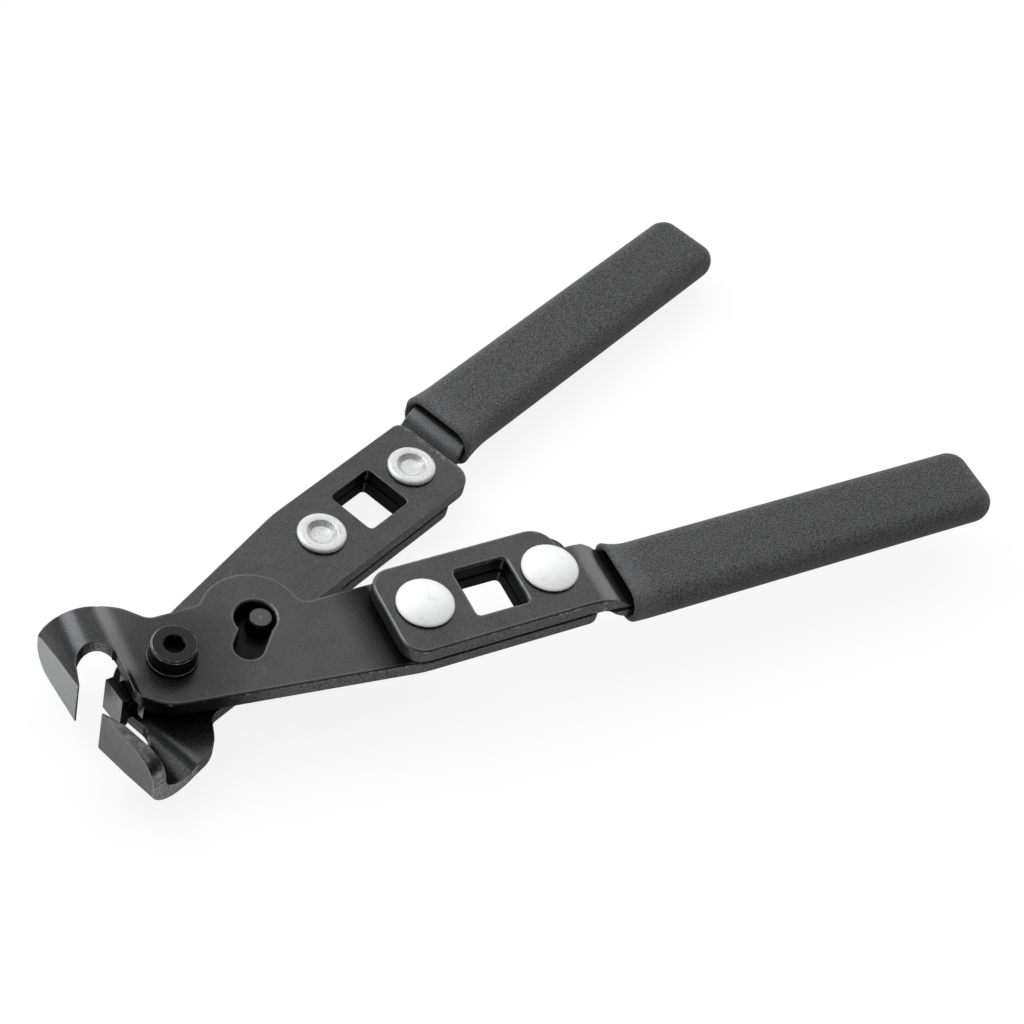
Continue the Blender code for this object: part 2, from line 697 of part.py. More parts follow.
def stand_on_origin(root):
    """Moves the whole tool so that its footprint's middle is at the origin and it stands on the ground."""
    bpy.context.view_layer.update()
    points = []
    for piece in bpy.context.scene.objects:
        if piece.type == "MESH":
            points += [piece.matrix_world @ vertex.co for vertex in piece.data.vertices]
    low = Vector(min(point[i] for point in points) for i in range(3))
    high = Vector(max(point[i] for point in points) for i in range(3))
    root.location = (-(low.x + high.x) / 2, -(low.y + high.y) / 2, -low.z)


def main():
    for old in list(bpy.data.objects):
        bpy.data.objects.remove(old)
    root = add_joint("pliers", None)
    add_handles(root)
    add_anvil(root)
    add_pivot(root)
    stand_on_origin(root)


main()
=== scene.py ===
"""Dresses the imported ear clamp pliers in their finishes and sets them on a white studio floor."""

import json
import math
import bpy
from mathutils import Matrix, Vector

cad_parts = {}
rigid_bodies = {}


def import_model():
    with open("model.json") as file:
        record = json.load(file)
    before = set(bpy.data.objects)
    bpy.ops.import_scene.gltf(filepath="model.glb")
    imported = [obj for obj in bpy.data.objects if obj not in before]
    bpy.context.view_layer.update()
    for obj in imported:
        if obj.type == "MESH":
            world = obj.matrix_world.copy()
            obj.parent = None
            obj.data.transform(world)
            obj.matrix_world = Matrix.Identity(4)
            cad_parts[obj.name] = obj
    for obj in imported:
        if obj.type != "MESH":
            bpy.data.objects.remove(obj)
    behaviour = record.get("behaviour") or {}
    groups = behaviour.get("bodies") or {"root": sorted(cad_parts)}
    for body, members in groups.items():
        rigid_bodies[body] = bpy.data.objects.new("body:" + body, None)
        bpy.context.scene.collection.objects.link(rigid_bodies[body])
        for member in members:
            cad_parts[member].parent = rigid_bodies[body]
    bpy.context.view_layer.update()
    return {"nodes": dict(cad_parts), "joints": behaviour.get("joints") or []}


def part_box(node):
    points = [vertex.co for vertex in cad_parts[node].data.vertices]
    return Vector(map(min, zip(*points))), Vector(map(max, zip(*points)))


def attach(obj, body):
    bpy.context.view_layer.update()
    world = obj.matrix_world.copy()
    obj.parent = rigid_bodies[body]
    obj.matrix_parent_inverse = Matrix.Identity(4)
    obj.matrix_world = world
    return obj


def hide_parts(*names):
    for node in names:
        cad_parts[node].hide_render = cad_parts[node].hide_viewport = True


bl_info = {
    "name": "Ear Clamp Pliers",
    "version": (1, 0, 0),
    "blender": (4, 5, 0),
    "location": "3D View > Sidebar > Pliers",
    "description": "Black steel levers, bare rivets and foam grips of a pair of ear clamp pliers",
    "category": "Object",
}

import bmesh
import bpy
from bpy.props import FloatProperty, FloatVectorProperty, IntProperty, PointerProperty
from mathutils import Euler, Matrix, Vector
from mathutils.bvhtree import BVHTree

for leftover in list(bpy.data.objects):
    bpy.data.objects.remove(leftover)

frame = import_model()

MM = 0.001
SIDES = ("upper", "lower")
SWING = frame["joints"][0]
PIVOT = Vector(SWING["pos_m"])
OPEN_ANGLE = math.radians(SWING["range_deg"][1])
LEVER_PLACE = {
    "upper": Matrix.Translation(PIVOT) @ Matrix.Rotation(-OPEN_ANGLE, 4, "Z"),
    "lower": Matrix.Translation(PIVOT)
    @ Matrix.Rotation(OPEN_ANGLE, 4, "Z")
    @ Matrix.Rotation(math.pi, 4, "X"),
}

# How a CAD mesh is cleaned before its edges are rounded
WELD = 0.02 * MM
SHORTEST_EDGE = 0.12 * MM
FLAT_ANGLE = math.radians(0.6)
SHARP_ANGLE = math.radians(24.0)
ROLL_STEPS = 5
ROUND_STEPS = 2

# Which faces of a plate are flat or cut, where its jaw starts, and where the tang bends
WALL_TILT = 0.06
EDGE_TILT = 0.60
FLAT_TILT = 0.99
JAW_X = -9.4 * MM
GROUND_X = -20.4 * MM
SLANT = 0.05
RIM_Z = -0.8 * MM
RIM_DOWN = 0.1
RIM_SKEW = 0.12
HOLE_REACH = 16.0 * MM
BEND_X = 94.3 * MM
TANG_X = 46.2 * MM
SEAM_Z = 7.05 * MM
# Share of the ground colour on each jaw's ground front; the lower jaw's smaller share is painted shade
GROUND_SHARE_WITH_SHADE = {"upper": 1.0, "lower": 0.25}
GROUND_TILT = 0.9

# Rounds in a jaw's section, each with the X and Z of its middle and its radius
CURL = (-14.0 * MM, -0.84 * MM, 9.0 * MM)
HOLLOW = (-13.2 * MM, -1.1 * MM, 5.7 * MM)
HOLLOW_ROOT = (-7.71 * MM, 6.9 * MM, 4.0 * MM)
STRIP_SKEW = 0.05
STRIP_SAG = 0.12 * MM
STRIP_LEAN = math.cos(math.radians(12.0))

# Both black steels: their metal, their weak shine at a glancing angle, and the depth of their grain
STEEL_METAL = 0.95
DARK_GLANCE = (0.5, 0.5, 0.5, 1.0)
STEEL_BUMP = 0.03 * MM
GRAIN_BUMP = 0.15
GRAIN_GLOSS = 0.06

# Soft limits of the zones on a lever, in its own coordinates
JAW_END = (JAW_X - 0.3 * MM, JAW_X + 0.3 * MM)
CREASE_START = (JAW_X - 2.6 * MM, JAW_X - 0.3 * MM)
CREASE_END = (JAW_X + 0.2 * MM, JAW_X + 2.8 * MM)
CREASE_SIDE = (-3.0 * MM, 1.5 * MM)
CREASE_TOP = (4.5 * MM, 6.0 * MM)
BOSS_START = (JAW_X - 3.0 * MM, JAW_X - 1.0 * MM)
BOSS_END = (4.0 * MM, 20.0 * MM)
BOSS_SIDE = (1.0 * MM, 4.0 * MM)
PIVOT_SHADE_REACH = (5.5 * MM, 22.0 * MM)
TANG_STEP_SHADE_START = (TANG_X - 10.0 * MM, TANG_X)
TANG_STEP_SHADE_END = (TANG_X + 0.5 * MM, TANG_X + 2.0 * MM)
OUTER_LOW = (SEAM_Z - 1.2 * MM, SEAM_Z - 0.4 * MM)
OUTER_HIGH = (SEAM_Z - 0.1 * MM, SEAM_Z)
SEAM_START = (TANG_X + 0.5 * MM, TANG_X + 6.0 * MM)
SEAM_LOW = (SEAM_Z - 1.05 * MM, SEAM_Z - 0.80 * MM)
SEAM_HIGH = (SEAM_Z + 0.30 * MM, SEAM_Z + 0.55 * MM)
BEND_START = (BEND_X - 1.2 * MM, BEND_X)
BEND_END = (BEND_X, BEND_X + 0.9 * MM)
NECK_START = (BEND_X - 1.5 * MM, BEND_X + 0.5 * MM)
NECK_TOP = (8.0 * MM, 9.0 * MM)

# Black finish: the sizes of its patterns, and the noise levels between which each one shows
CLOUD = 7.0 * MM
PIT = 0.44 * MM
PIT_LEVELS = (0.28, 0.66)
RUB = 1.6 * MM
RUB_LEVELS = {"stray": (0.50, 0.62), "bend": (0.50, 0.58), "edge": (0.52, 0.68), "rim": (0.40, 0.68)}
STROKE = 0.30 * MM
STROKE_STRETCH = (0.12, 1.0, 1.0)
STROKE_LEVELS = (0.71, 0.76)
SPECK = 0.15 * MM

# Black finish: how much bare steel shows through; the crease and the edges also take a painted highlight, and
# the top of the neck is painted lighter
SPECK_BARE = 0.50
SCRATCH_BARE = 0.40
STRAY_SHARE = 0.25
CREASE_WEAR_AND_HIGHLIGHT = 0.40
NECK_PAINTED_LIGHT = 0.26
SCUFF_BARE = 0.32
EDGE_WEAR_AND_HIGHLIGHT = 0.15

# Black finish: how much painted shade darkens it beside the tang's step, round the pivot, in the seam, in
# recesses and on the boss's walls, how dark the jaw is, and how its colours vary
TANG_STEP_SHADE = 0.85
PIVOT_SHADE_DARK = 0.40
SEAM_DARK = 0.92
DEEP_SHADE = 0.86
JAW_DARK = 0.24
BOSS_WALL_SHADE = 0.06
JAW_WALL = 1.2
PIT_DARK = 0.35
PIT_RANGE = 1.1
PIT_BUMP = 2.0
FLAT_GRAIN = 0.34
FLAT_CLOUD = 0.5
FACET_GRAIN = 0.3
RIM_DARK = 0.25
RIM_RUB = 0.30
RIM_PIT = 0.3
PLATE_ROUGH = 0.29
CUT_ROUGH = 0.20
JAW_SMOOTH = 0.06

# Dark hardware: wear and painted highlight on rims, variation, painted shade in the recess, and turning marks
HARD_RUB = 2.6 * MM
HARD_RUB_LEVELS = (0.44, 0.62)
HARD_WEAR_AND_HIGHLIGHT = 0.20
HARD_GRAIN = 0.32
HARD_CLOUD = 0.4
HARD_ROUGH = 0.28
FACE_ROUGH = 0.08
RECESS_SHADE = 0.85
TURNED_REACH = (2.4 * MM, 3.0 * MM)
TURNED_RANGE = 0.28
CENTRE_REACH = (0.30 * MM, 0.55 * MM)
CENTRE_BRIGHT = 0.6
RING_BUMP = 0.15

# Which faces of a turned part are its rims, and how wide the screw's recess is
RIM_FROM = 2.7 * MM
RIM_TILT = (0.5, 0.9)
RECESS_R = 2.48 * MM
RECESS_LIP = 0.4 * MM

# Rivet section beside the sizes read from the CAD rivet
RIVET_R = 3.4 * MM
RIVET_TAIL_R = 5.75 * MM
RIVET_TAIL_H = 0.9 * MM
RIVET_TAIL_TOP = 2.9 * MM
RIVET_FLOOR_R = 2.5 * MM
RIVET_DIMPLE_R = 3.7 * MM
RIVET_DIMPLE_H = 1.05 * MM
RIVET_HEAD_H = 2.4 * MM
RIVET_LIP = 0.4 * MM
RIVET_STEPS = 14
RIVET_SIDES = 72

# Rivet steel: stains, dents of the press, turning marks, and painted shade on the dimple's wall
STAIN = 2.6 * MM
STAIN_LEVELS = (0.52, 0.74)
STAIN_DARK = 0.14
STAIN_ROUGH = 0.12
TAIL_GRAIN = 0.8
TAIL_RING = 0.10
TAIL_SMOOTH = 0.10
TAIL_METAL = 0.65
DIMPLE_SHADE = 0.22
RIVET_ROUGH = 0.42
RIVET_GLOSS = 0.10
RIVET_METAL = 0.20
RIVET_BUMP = 0.03 * MM
HEAD_DENT = 0.5
TAIL_DENT = 1.5
RIVET_RING = 0.5

# Grip section, a little inside the CAD grip
GRIP_INSIDE = 0.05 * MM
GRIP_Y = -11.8 * MM
GRIP_Z = 4.9 * MM
GRIP_WIDTH = 19.4 * MM
GRIP_THICKNESS = 8.8 * MM
GRIP_EDGE_R = 4.1 * MM
GRIP_END_R = 5.0 * MM
GRIP_MOUTH_R = 0.9 * MM
GRIP_FLARE = 0.5 * MM
GRIP_RAISE = 1.7 * MM
GRIP_OPEN = {"upper": 0.0, "lower": 1.5 * MM}
GRIP_FLARE_LENGTH = 8.0 * MM
GRIP_LIP_X = 103.0 * MM
GRIP_FADE_X = 180.0 * MM
GRIP_POCKET = 7.0 * MM
GRIP_WALL = 1.3 * MM
GRIP_FLARE_STEPS = 12
GRIP_STATIONS = 40
GRIP_CORNER_STEPS = 9
GRIP_END_STEPS = 10
GRIP_MOUTH_STEPS = 5
GRIP_FLAT = 0.05 * MM

# Foam: its cells, sparks, pits and lint, and the paler lip of the mouth
FOAM_TONE = 0.82
CELL_RANGE = 4.0
PATCH = 4.0 * MM
PATCH_RANGE = 0.35
SPARK_SIZE = 0.8
SPARK_LEVELS = (0.58, 0.70)
SPARK_BRIGHT = 1.5
SPARK_SMOOTH = 0.10
SPARK_BUMP = 0.5
FOAM_PIT_LEVELS = (0.36, 0.46)
FOAM_PIT_DARK = 0.45
LINT_GAP = 4.0 * MM
LINT = 0.16 * MM
LINT_BRIGHT = 4.0
LIP_BRIGHT = 0.40
FADE_SHARE = 0.5
FOAM_ROUGH = 0.92
FOAM_SHEEN = 0.20
SHEEN_ROUGH = 0.6
FOAM_BUMP = 0.10 * MM

# Room: what the glossy steel mirrors, what lights the rest, and how much the floor glows
MIRROR_DARK = 0.03
MIRROR_SKY = 0.18
MIRROR_CEILING = 0.44
MIRROR_BACKDROP = 0.70
SKY_LEVELS = (0.45, 0.95)
BACKDROP_TOP = (0.10, 0.95)
BACKDROP_SIDE = (-0.60, 0.20)
CEILING_WAY = (0.45, 0.43, 0.78)
CEILING_LEVELS = (0.55, 0.97)
DOME_DARK = 0.10
DOME_BRIGHT = 1.15
DOME_WAY = (0.4, 0.9)
DOME_LEVELS = (0.10, 1.00)
KEY_SIZE = 0.46
KEY_TINT = (0.90, 0.96, 1.0)
FLOOR_REACH = 3.0
FLOOR_WHITE = 0.86
FLOOR_MIRROR = 0.20
SENSOR = 36.0
WHITE = (1.0, 1.0, 1.0, 1.0)


class PliersSizes(bpy.types.PropertyGroup):
    """Sizes of the details that the look adds to the CAD shapes."""

    plate_roll: FloatProperty(
        name="Rolled edges", description="Soft rounding of the plates' outer edges, from the press",
        default=0.70 * MM, min=0.0, unit="LENGTH",
    )
    plate_round: FloatProperty(
        name="Plate edges", description="Rounding of the plates' other edges",
        default=0.30 * MM, min=0.0, unit="LENGTH",
    )
    pin_round: FloatProperty(
        name="Hardware edges", description="Rounding of the edges of screw, washers, nut, pin and anvil",
        default=0.12 * MM, min=0.0, unit="LENGTH",
    )
    grain: FloatProperty(
        name="Steel grain", description="Size of the grain in the black finish",
        default=0.40 * MM, min=0.01 * MM, unit="LENGTH",
    )
    speck_gap: FloatProperty(
        name="Speck distance", description="Distance between the bright specks in the black finish",
        default=2.5 * MM, min=0.1 * MM, unit="LENGTH",
    )
    foam_cell: FloatProperty(
        name="Foam cell", description="Size of the specks in the grips' foam",
        default=0.42 * MM, min=0.01 * MM, unit="LENGTH",
    )
    ring_pitch: FloatProperty(
        name="Turning marks", description="Distance between the turning marks on rivets and pins",
        default=0.45 * MM, min=0.01 * MM, unit="LENGTH",
    )
    rivets_per_handle: IntProperty(
        name="Rivets", description="Rivets that hold each tang on its lever", default=2, min=1,
    )


class PliersColours(bpy.types.PropertyGroup):
    """Colours of the finishes."""

    oxide: FloatVectorProperty(
        name="Black finish", description="Colour of the plates' flat faces",
        subtype="COLOR", size=3, min=0.0, max=1.0, default=(0.120, 0.120, 0.1215),
    )
    cut: FloatVectorProperty(
        name="Cut edges", description="Colour of the plates' sheared walls",
        subtype="COLOR", size=3, min=0.0, max=1.0, default=(0.108, 0.108, 0.109),
    )
    ground: FloatVectorProperty(
        name="Ground facets", description="Colour of the ground fronts of the jaws",
        subtype="COLOR", size=3, min=0.0, max=1.0, default=(0.42, 0.42, 0.424),
    )
    bare: FloatVectorProperty(
        name="Bare steel", description="Colour of worn edges and scratches",
        subtype="COLOR", size=3, min=0.0, max=1.0, default=(0.55, 0.55, 0.56),
    )
    hardware: FloatVectorProperty(
        name="Hardware", description="Colour of screw, washers and nut",
        subtype="COLOR", size=3, min=0.0, max=1.0, default=(0.045, 0.045, 0.0465),
    )
    slide: FloatVectorProperty(
        name="Slide", description="Colour of the anvil's slide and of the cam pin",
        subtype="COLOR", size=3, min=0.0, max=1.0, default=(0.018, 0.018, 0.0185),
    )
    rivet: FloatVectorProperty(
        name="Rivets", description="Colour of the bare rivets",
        subtype="COLOR", size=3, min=0.0, max=1.0, default=(0.93, 0.93, 0.93),
    )
    foam: FloatVectorProperty(
        name="Grips", description="Colour of the grips' foam",
        subtype="COLOR", size=3, min=0.0, max=1.0, default=(0.045, 0.045, 0.0465),
    )
    floor: FloatVectorProperty(
        name="Floor", description="Colour of the floor under the tool",
        subtype="COLOR", size=3, min=0.0, max=1.0, default=(0.95, 0.95, 0.95),
    )


class PliersStudio(bpy.types.PropertyGroup):
    """Camera and lights, placed from the tool's pivot."""

    camera_place: FloatVectorProperty(
        name="Camera", description="Camera's place from the pivot", subtype="TRANSLATION", size=3,
        default=(-199.950 * MM, -238.532 * MM, 423.261 * MM),
    )
    camera_turn: FloatVectorProperty(
        name="Camera turn", description="Camera's rotation", subtype="EULER", size=3,
        default=(math.radians(40.5652), math.radians(-10.9383), math.radians(-38.4318)),
    )
    lens: FloatProperty(
        name="Lens", description="Focal length on a 36 mm sensor", default=86.724, unit="CAMERA",
    )
    key_place: FloatVectorProperty(
        name="Key light", description="Key light's place from the pivot", subtype="TRANSLATION", size=3,
        default=(-0.27, 0.57, 0.78),
    )
    key_power: FloatProperty(
        name="Key power", description="Power of the key light", default=1.6, min=0.0, unit="POWER",
    )
    bounce: FloatProperty(
        name="Floor bounce", description="Share of the light that the floor throws back at the tool",
        default=0.45, min=0.0, max=1.0, subtype="FACTOR",
    )
    sky: FloatProperty(
        name="Room light", description="Strength of the light from the white room", default=1.3, min=0.0,
    )


class Wire:
    """A shader socket that takes part in sums like a number."""

    def __init__(self, look, socket):
        self.look = look
        self.socket = socket

    def sum(self, operation, *values):
        return self.look.add("ShaderNodeMath", {"operation": operation}, dict(enumerate(values)))

    def __add__(self, other):
        return self.sum("ADD", self, other)

    def __radd__(self, other):
        return self.sum("ADD", other, self)

    def __sub__(self, other):
        return self.sum("SUBTRACT", self, other)

    def __rsub__(self, other):
        return self.sum("SUBTRACT", other, self)

    def __mul__(self, other):
        return self.sum("MULTIPLY", self, other)

    def __rmul__(self, other):
        return self.sum("MULTIPLY", other, self)

    def sine(self):
        return self.sum("SINE", self)

    def most(self, other):
        return self.sum("MAXIMUM", self, other)

    def rise(self, low, high):
        """0 below low, 1 above high, and a smooth rise between them."""
        return self.look.add(
            "ShaderNodeMapRange", {"interpolation_type": "SMOOTHSTEP"},
            {"Value": self, "From Min": low, "From Max": high}, "Result",
        )

    def fall(self, low, high):
        return 1.0 - self.rise(low, high)


class Look:
    """A node tree being wired up."""

    def __init__(self, tree):
        self.tree = tree

    def add(self, kind, settings=None, values=None, output=0):
        """Adds a node, sets it, feeds its sockets, and gives back one of its outputs."""
        node = self.tree.nodes.new(kind)
        for key, value in (settings or {}).items():
            setattr(node, key, value)
        for key, value in (values or {}).items():
            self.feed(node.inputs[key], value)
        return Wire(self, node.outputs[output])

    def feed(self, socket, value):
        if isinstance(value, Wire):
            self.tree.links.new(value.socket, socket)
        else:
            socket.default_value = value

    def mixed(self, share, first, second):
        """A colour between two colours."""
        return self.add(
            "ShaderNodeMix", {"data_type": "RGBA"},
            {0: share, 6: self.colour(first), 7: self.colour(second)}, 2,
        )

    def toned(self, colour, amount):
        """A colour made lighter or darker by a wire."""
        return self.add(
            "ShaderNodeVectorMath", {"operation": "SCALE"}, {0: self.colour(colour, 3), "Scale": amount},
        )

    def colour(self, value, parts=4):
        if isinstance(value, Wire):
            return value
        return (*value, 1.0)[:parts]

    def noise(self, where, size, detail=2.0, roughness=0.5):
        """Soft noise whose blobs are about this size."""
        return self.add(
            "ShaderNodeTexNoise", None,
            {"Vector": where, "Scale": 1.0 / size, "Detail": detail, "Roughness": roughness},
        )

    def grain(self, where, size):
        """Fine even noise with no dots that stand out."""
        return self.noise(where, size, 3.0, 0.6).rise(0.32, 0.68)

    def mark(self, name):
        """One of the marks that a piece's mesh carries."""
        return self.add("ShaderNodeAttribute", {"attribute_name": name}, None, "Fac")

    def carried(self, name):
        """A place that a piece's mesh carries, in a part's own coordinates."""
        return self.add("ShaderNodeAttribute", {"attribute_name": name}, None, "Vector")

    def place(self):
        return self.add("ShaderNodeTexCoord", None, None, "Object")

    def stretched(self, vector, factors):
        return self.add("ShaderNodeVectorMath", {"operation": "MULTIPLY"}, {0: vector, 1: factors})

    def radius(self, vector):
        """Distance from a turned part's axis."""
        flat = self.stretched(vector, (1.0, 1.0, 0.0))
        return self.add("ShaderNodeVectorMath", {"operation": "LENGTH"}, {0: flat}, "Value")

    def specks(self, where, gap, size):
        """1 in small dots that lie about this far apart."""
        dots = self.add(
            "ShaderNodeTexVoronoi", {"feature": "F1"}, {"Vector": where, "Scale": 1.0 / gap}, "Distance",
        )
        return dots.fall(0.5 * size / gap, size / gap)

    def parts(self, vector):
        return [self.add("ShaderNodeSeparateXYZ", None, {0: vector}, axis) for axis in "XYZ"]

    def rays(self):
        """1 for the camera's own rays, and 1 for rays that come off or through something shiny."""
        camera, glossy, clear = [
            self.add("ShaderNodeLightPath", None, None, f"Is {kind} Ray")
            for kind in ("Camera", "Glossy", "Transmission")
        ]
        return camera, glossy.most(clear)

    def bump(self, height, depth):
        return self.add("ShaderNodeBump", None, {"Height": height, "Distance": depth, "Strength": 1.0})


class Finish(Look):
    """A new material, with its surface shader."""

    def __init__(self, name):
        self.material = bpy.data.materials.new(name)
        self.material.use_nodes = True
        super().__init__(self.material.node_tree)
        self.shader = self.tree.nodes["Principled BSDF"]

    def surface(self, **values):
        for name, value in values.items():
            self.feed(self.shader.inputs[name.replace("_", " ")], value)
        return self.material


def black_oxide(colours, sizes):
    """Black finish on plate steel: grain, specks, cut walls, ground jaw fronts, rubbed bends, painted
    highlights and painted shade.
    """
    look = Finish("black_oxide")
    where = look.place()
    cut = look.mark("cut")
    deep = look.mark("deep")
    ground = look.mark("ground")
    rim = look.mark("rim")
    edge = look.mark("edge")
    lever = look.carried("lever")
    along, across, up = look.parts(lever)
    grain = look.grain(where, sizes.grain)
    cloud = look.noise(where, CLOUD, 4.0, 0.6)
    pits = look.noise(where, PIT, 3.0, 0.65)
    rub = look.noise(where, RUB, 4.0, 0.62)
    strokes = look.noise(look.stretched(lever, STROKE_STRETCH), STROKE, 1.0)
    specks = look.specks(where, sizes.speck_gap, SPECK)

    # Zones of the lever
    plain = 1.0 - cut
    jaw = along.fall(*JAW_END)
    crease = along.rise(*CREASE_START) * along.fall(*CREASE_END)
    neck = along.rise(*NECK_START) * up.rise(*NECK_TOP)
    bend = along.rise(*BEND_START) * along.fall(*BEND_END)
    # Painted shade in the seam between lever and tang, on their walls and rounded edges
    lap = up.rise(*SEAM_LOW) * up.fall(*SEAM_HIGH)
    seam_shade = lap * cut.most(edge) * along.rise(*SEAM_START)
    # Painted shade on the lever's outer face, just before the tang's step
    tang_step_shade = along.rise(*TANG_STEP_SHADE_START) * along.fall(*TANG_STEP_SHADE_END)
    outer = up.rise(*OUTER_LOW) * up.fall(*OUTER_HIGH)
    # Painted shade round the pivot, fading out by 22 mm
    shade_round_pivot = look.radius(lever).fall(*PIVOT_SHADE_REACH)
    # Painted shade on the cut walls round the boss: 0 there, 1 elsewhere
    outside_boss_shade = along.fall(*BOSS_START).most(along.rise(*BOSS_END)).most(across.rise(*BOSS_SIDE))

    # Where bare steel shows, where painted highlights and painted light lighten the crease, the neck and the
    # edges, and where painted shade darkens the steel beside the tang's step and round the pivot
    scratches = strokes.rise(*STROKE_LEVELS) * (STRAY_SHARE * rub.rise(*RUB_LEVELS["stray"]) + bend)
    worn_bend = bend * rub.rise(*RUB_LEVELS["bend"])
    scuffs = (edge * rub.rise(*RUB_LEVELS["edge"])).most(worn_bend) * (1.0 - deep)
    # Bare steel rubbed along the crease, with a painted highlight
    crease_wear_and_highlight = CREASE_WEAR_AND_HIGHLIGHT * crease * across.rise(*CREASE_SIDE) * up.rise(*CREASE_TOP)
    # The crease's wear and painted highlight, and painted light on the top of the neck
    crease_and_neck_light = (crease_wear_and_highlight + NECK_PAINTED_LIGHT * neck) * plain
    bright = (SPECK_BARE * specks).most(SCRATCH_BARE * scratches).most(crease_and_neck_light)
    # Rubbed spots on edges, and every rounded edge lightened by wear and a painted highlight
    bright = bright.most(SCUFF_BARE * scuffs).most(EDGE_WEAR_AND_HIGHLIGHT * edge * plain)
    # Painted shade beside the tang's step and round the pivot
    painted_shade = (TANG_STEP_SHADE * tang_step_shade * outer).most(PIVOT_SHADE_DARK * shade_round_pivot) * plain

    # Colours of flats, cut walls, ground facets and the jaw's free rim; the walls get painted shade round the
    # boss and in recesses
    vary = FLAT_GRAIN * (grain - 0.5) + FLAT_CLOUD * (cloud - 0.5)
    flat = look.toned(colours.oxide, 1.0 + vary - JAW_DARK * jaw)
    # Wall shade: painted shade on the boss's walls and on walls in recesses; walls at the jaw are lighter
    shade = (BOSS_WALL_SHADE + (1.0 - BOSS_WALL_SHADE) * outside_boss_shade + JAW_WALL * jaw) * (1.0 - DEEP_SHADE * deep)
    walls = look.toned(colours.cut, shade * (PIT_DARK + PIT_RANGE * pits.rise(*PIT_LEVELS)))
    facets = look.toned(colours.ground, 1.0 + FACET_GRAIN * (grain - 0.5))
    rubs = RIM_RUB * rub.rise(*RUB_LEVELS["rim"])
    rims = look.toned(colours.ground, RIM_DARK + rubs + RIM_PIT * (pits - 0.5))
    colour = look.mixed(ground, look.mixed(cut, flat, walls), facets)
    colour = look.mixed(bright, look.mixed(rim, colour, rims), colours.bare)
    return look.surface(
        # Painted shade in the seam, beside the tang's step and round the pivot darkens the whole colour
        Base_Color=look.toned(colour, (1.0 - SEAM_DARK * seam_shade) * (1.0 - painted_shade)),
        Roughness=PLATE_ROUGH + GRAIN_GLOSS * (grain - 0.5) + CUT_ROUGH * cut - JAW_SMOOTH * jaw * plain,
        Metallic=STEEL_METAL,
        Specular_Tint=DARK_GLANCE,
        Normal=look.bump(grain * GRAIN_BUMP + (cut + rim) * pits * PIT_BUMP, STEEL_BUMP),
    )


def dark_hardware(name, colour, colours, sizes):
    """Hardened steel with turning marks, ground faces, rims bright from wear and a painted highlight, and
    painted shade in the recess.
    """
    look = Finish(name)
    where = look.place()
    radius = look.radius(look.carried("around"))
    rings = (radius * (math.tau / sizes.ring_pitch)).sine()
    grain = look.grain(where, sizes.grain)
    rub = look.noise(where, HARD_RUB, 2.0)
    ground = look.mark("ground")
    # Rims brightened by wear and a painted highlight
    rim_wear_and_highlight = look.mark("edge") * (HARD_WEAR_AND_HIGHLIGHT + (1.0 - HARD_WEAR_AND_HIGHLIGHT) * rub.rise(*HARD_RUB_LEVELS))
    tone = 1.0 + HARD_GRAIN * (grain - 0.5) + HARD_CLOUD * (rub - 0.5)
    turned = rings * radius.fall(*TURNED_REACH)
    centre = radius.fall(*CENTRE_REACH)
    # Painted shade inside the screw's recess
    black = look.toned(colour, tone * (1.0 - RECESS_SHADE * look.mark("deep")))
    bright = look.toned(colours.ground, tone + TURNED_RANGE * turned + CENTRE_BRIGHT * centre)
    return look.surface(
        Base_Color=look.mixed(rim_wear_and_highlight, look.mixed(ground, black, bright), colours.bare),
        Roughness=HARD_ROUGH + GRAIN_GLOSS * (grain - 0.5) + FACE_ROUGH * ground,
        Metallic=STEEL_METAL,
        Specular_Tint=DARK_GLANCE,
        Normal=look.bump(grain * GRAIN_BUMP + ground * rings * RING_BUMP, STEEL_BUMP),
    )


def bare_rivet(colours, sizes):
    """Bright steel with faint turning marks, soft grey stains and painted shade on the dimple's wall."""
    look = Finish("bare_rivet")
    where = look.place()
    around = look.carried("around")
    tail = look.parts(around)[2].fall(RIVET_TAIL_TOP, RIVET_TAIL_TOP + RIVET_TAIL_H)
    radius = look.radius(around)
    floor = tail * radius.fall(RIVET_FLOOR_R - RIVET_LIP, RIVET_FLOOR_R)
    rings = floor * (radius * (math.tau / sizes.ring_pitch)).sine()
    inside = radius.fall(RIVET_DIMPLE_R - RIVET_LIP, RIVET_DIMPLE_R)
    # Painted shade on the dimple's wall
    wall = tail * radius.rise(RIVET_FLOOR_R - RIVET_LIP, RIVET_FLOOR_R) * inside
    grain = look.noise(where, sizes.grain, 3.0, 0.6)
    stain = look.noise(where, STAIN, 4.0, 0.6).rise(*STAIN_LEVELS)
    tone = 1.0 + TAIL_GRAIN * tail * (grain - 0.5) - STAIN_DARK * stain + TAIL_RING * rings
    return look.surface(
        Base_Color=look.toned(colours.rivet, tone - DIMPLE_SHADE * wall),
        Roughness=RIVET_ROUGH - TAIL_SMOOTH * tail + STAIN_ROUGH * stain + RIVET_GLOSS * (grain - 0.5),
        Metallic=RIVET_METAL + TAIL_METAL * tail,
        Normal=look.bump(grain * (HEAD_DENT + TAIL_DENT * tail) + rings * RIVET_RING, RIVET_BUMP),
    )


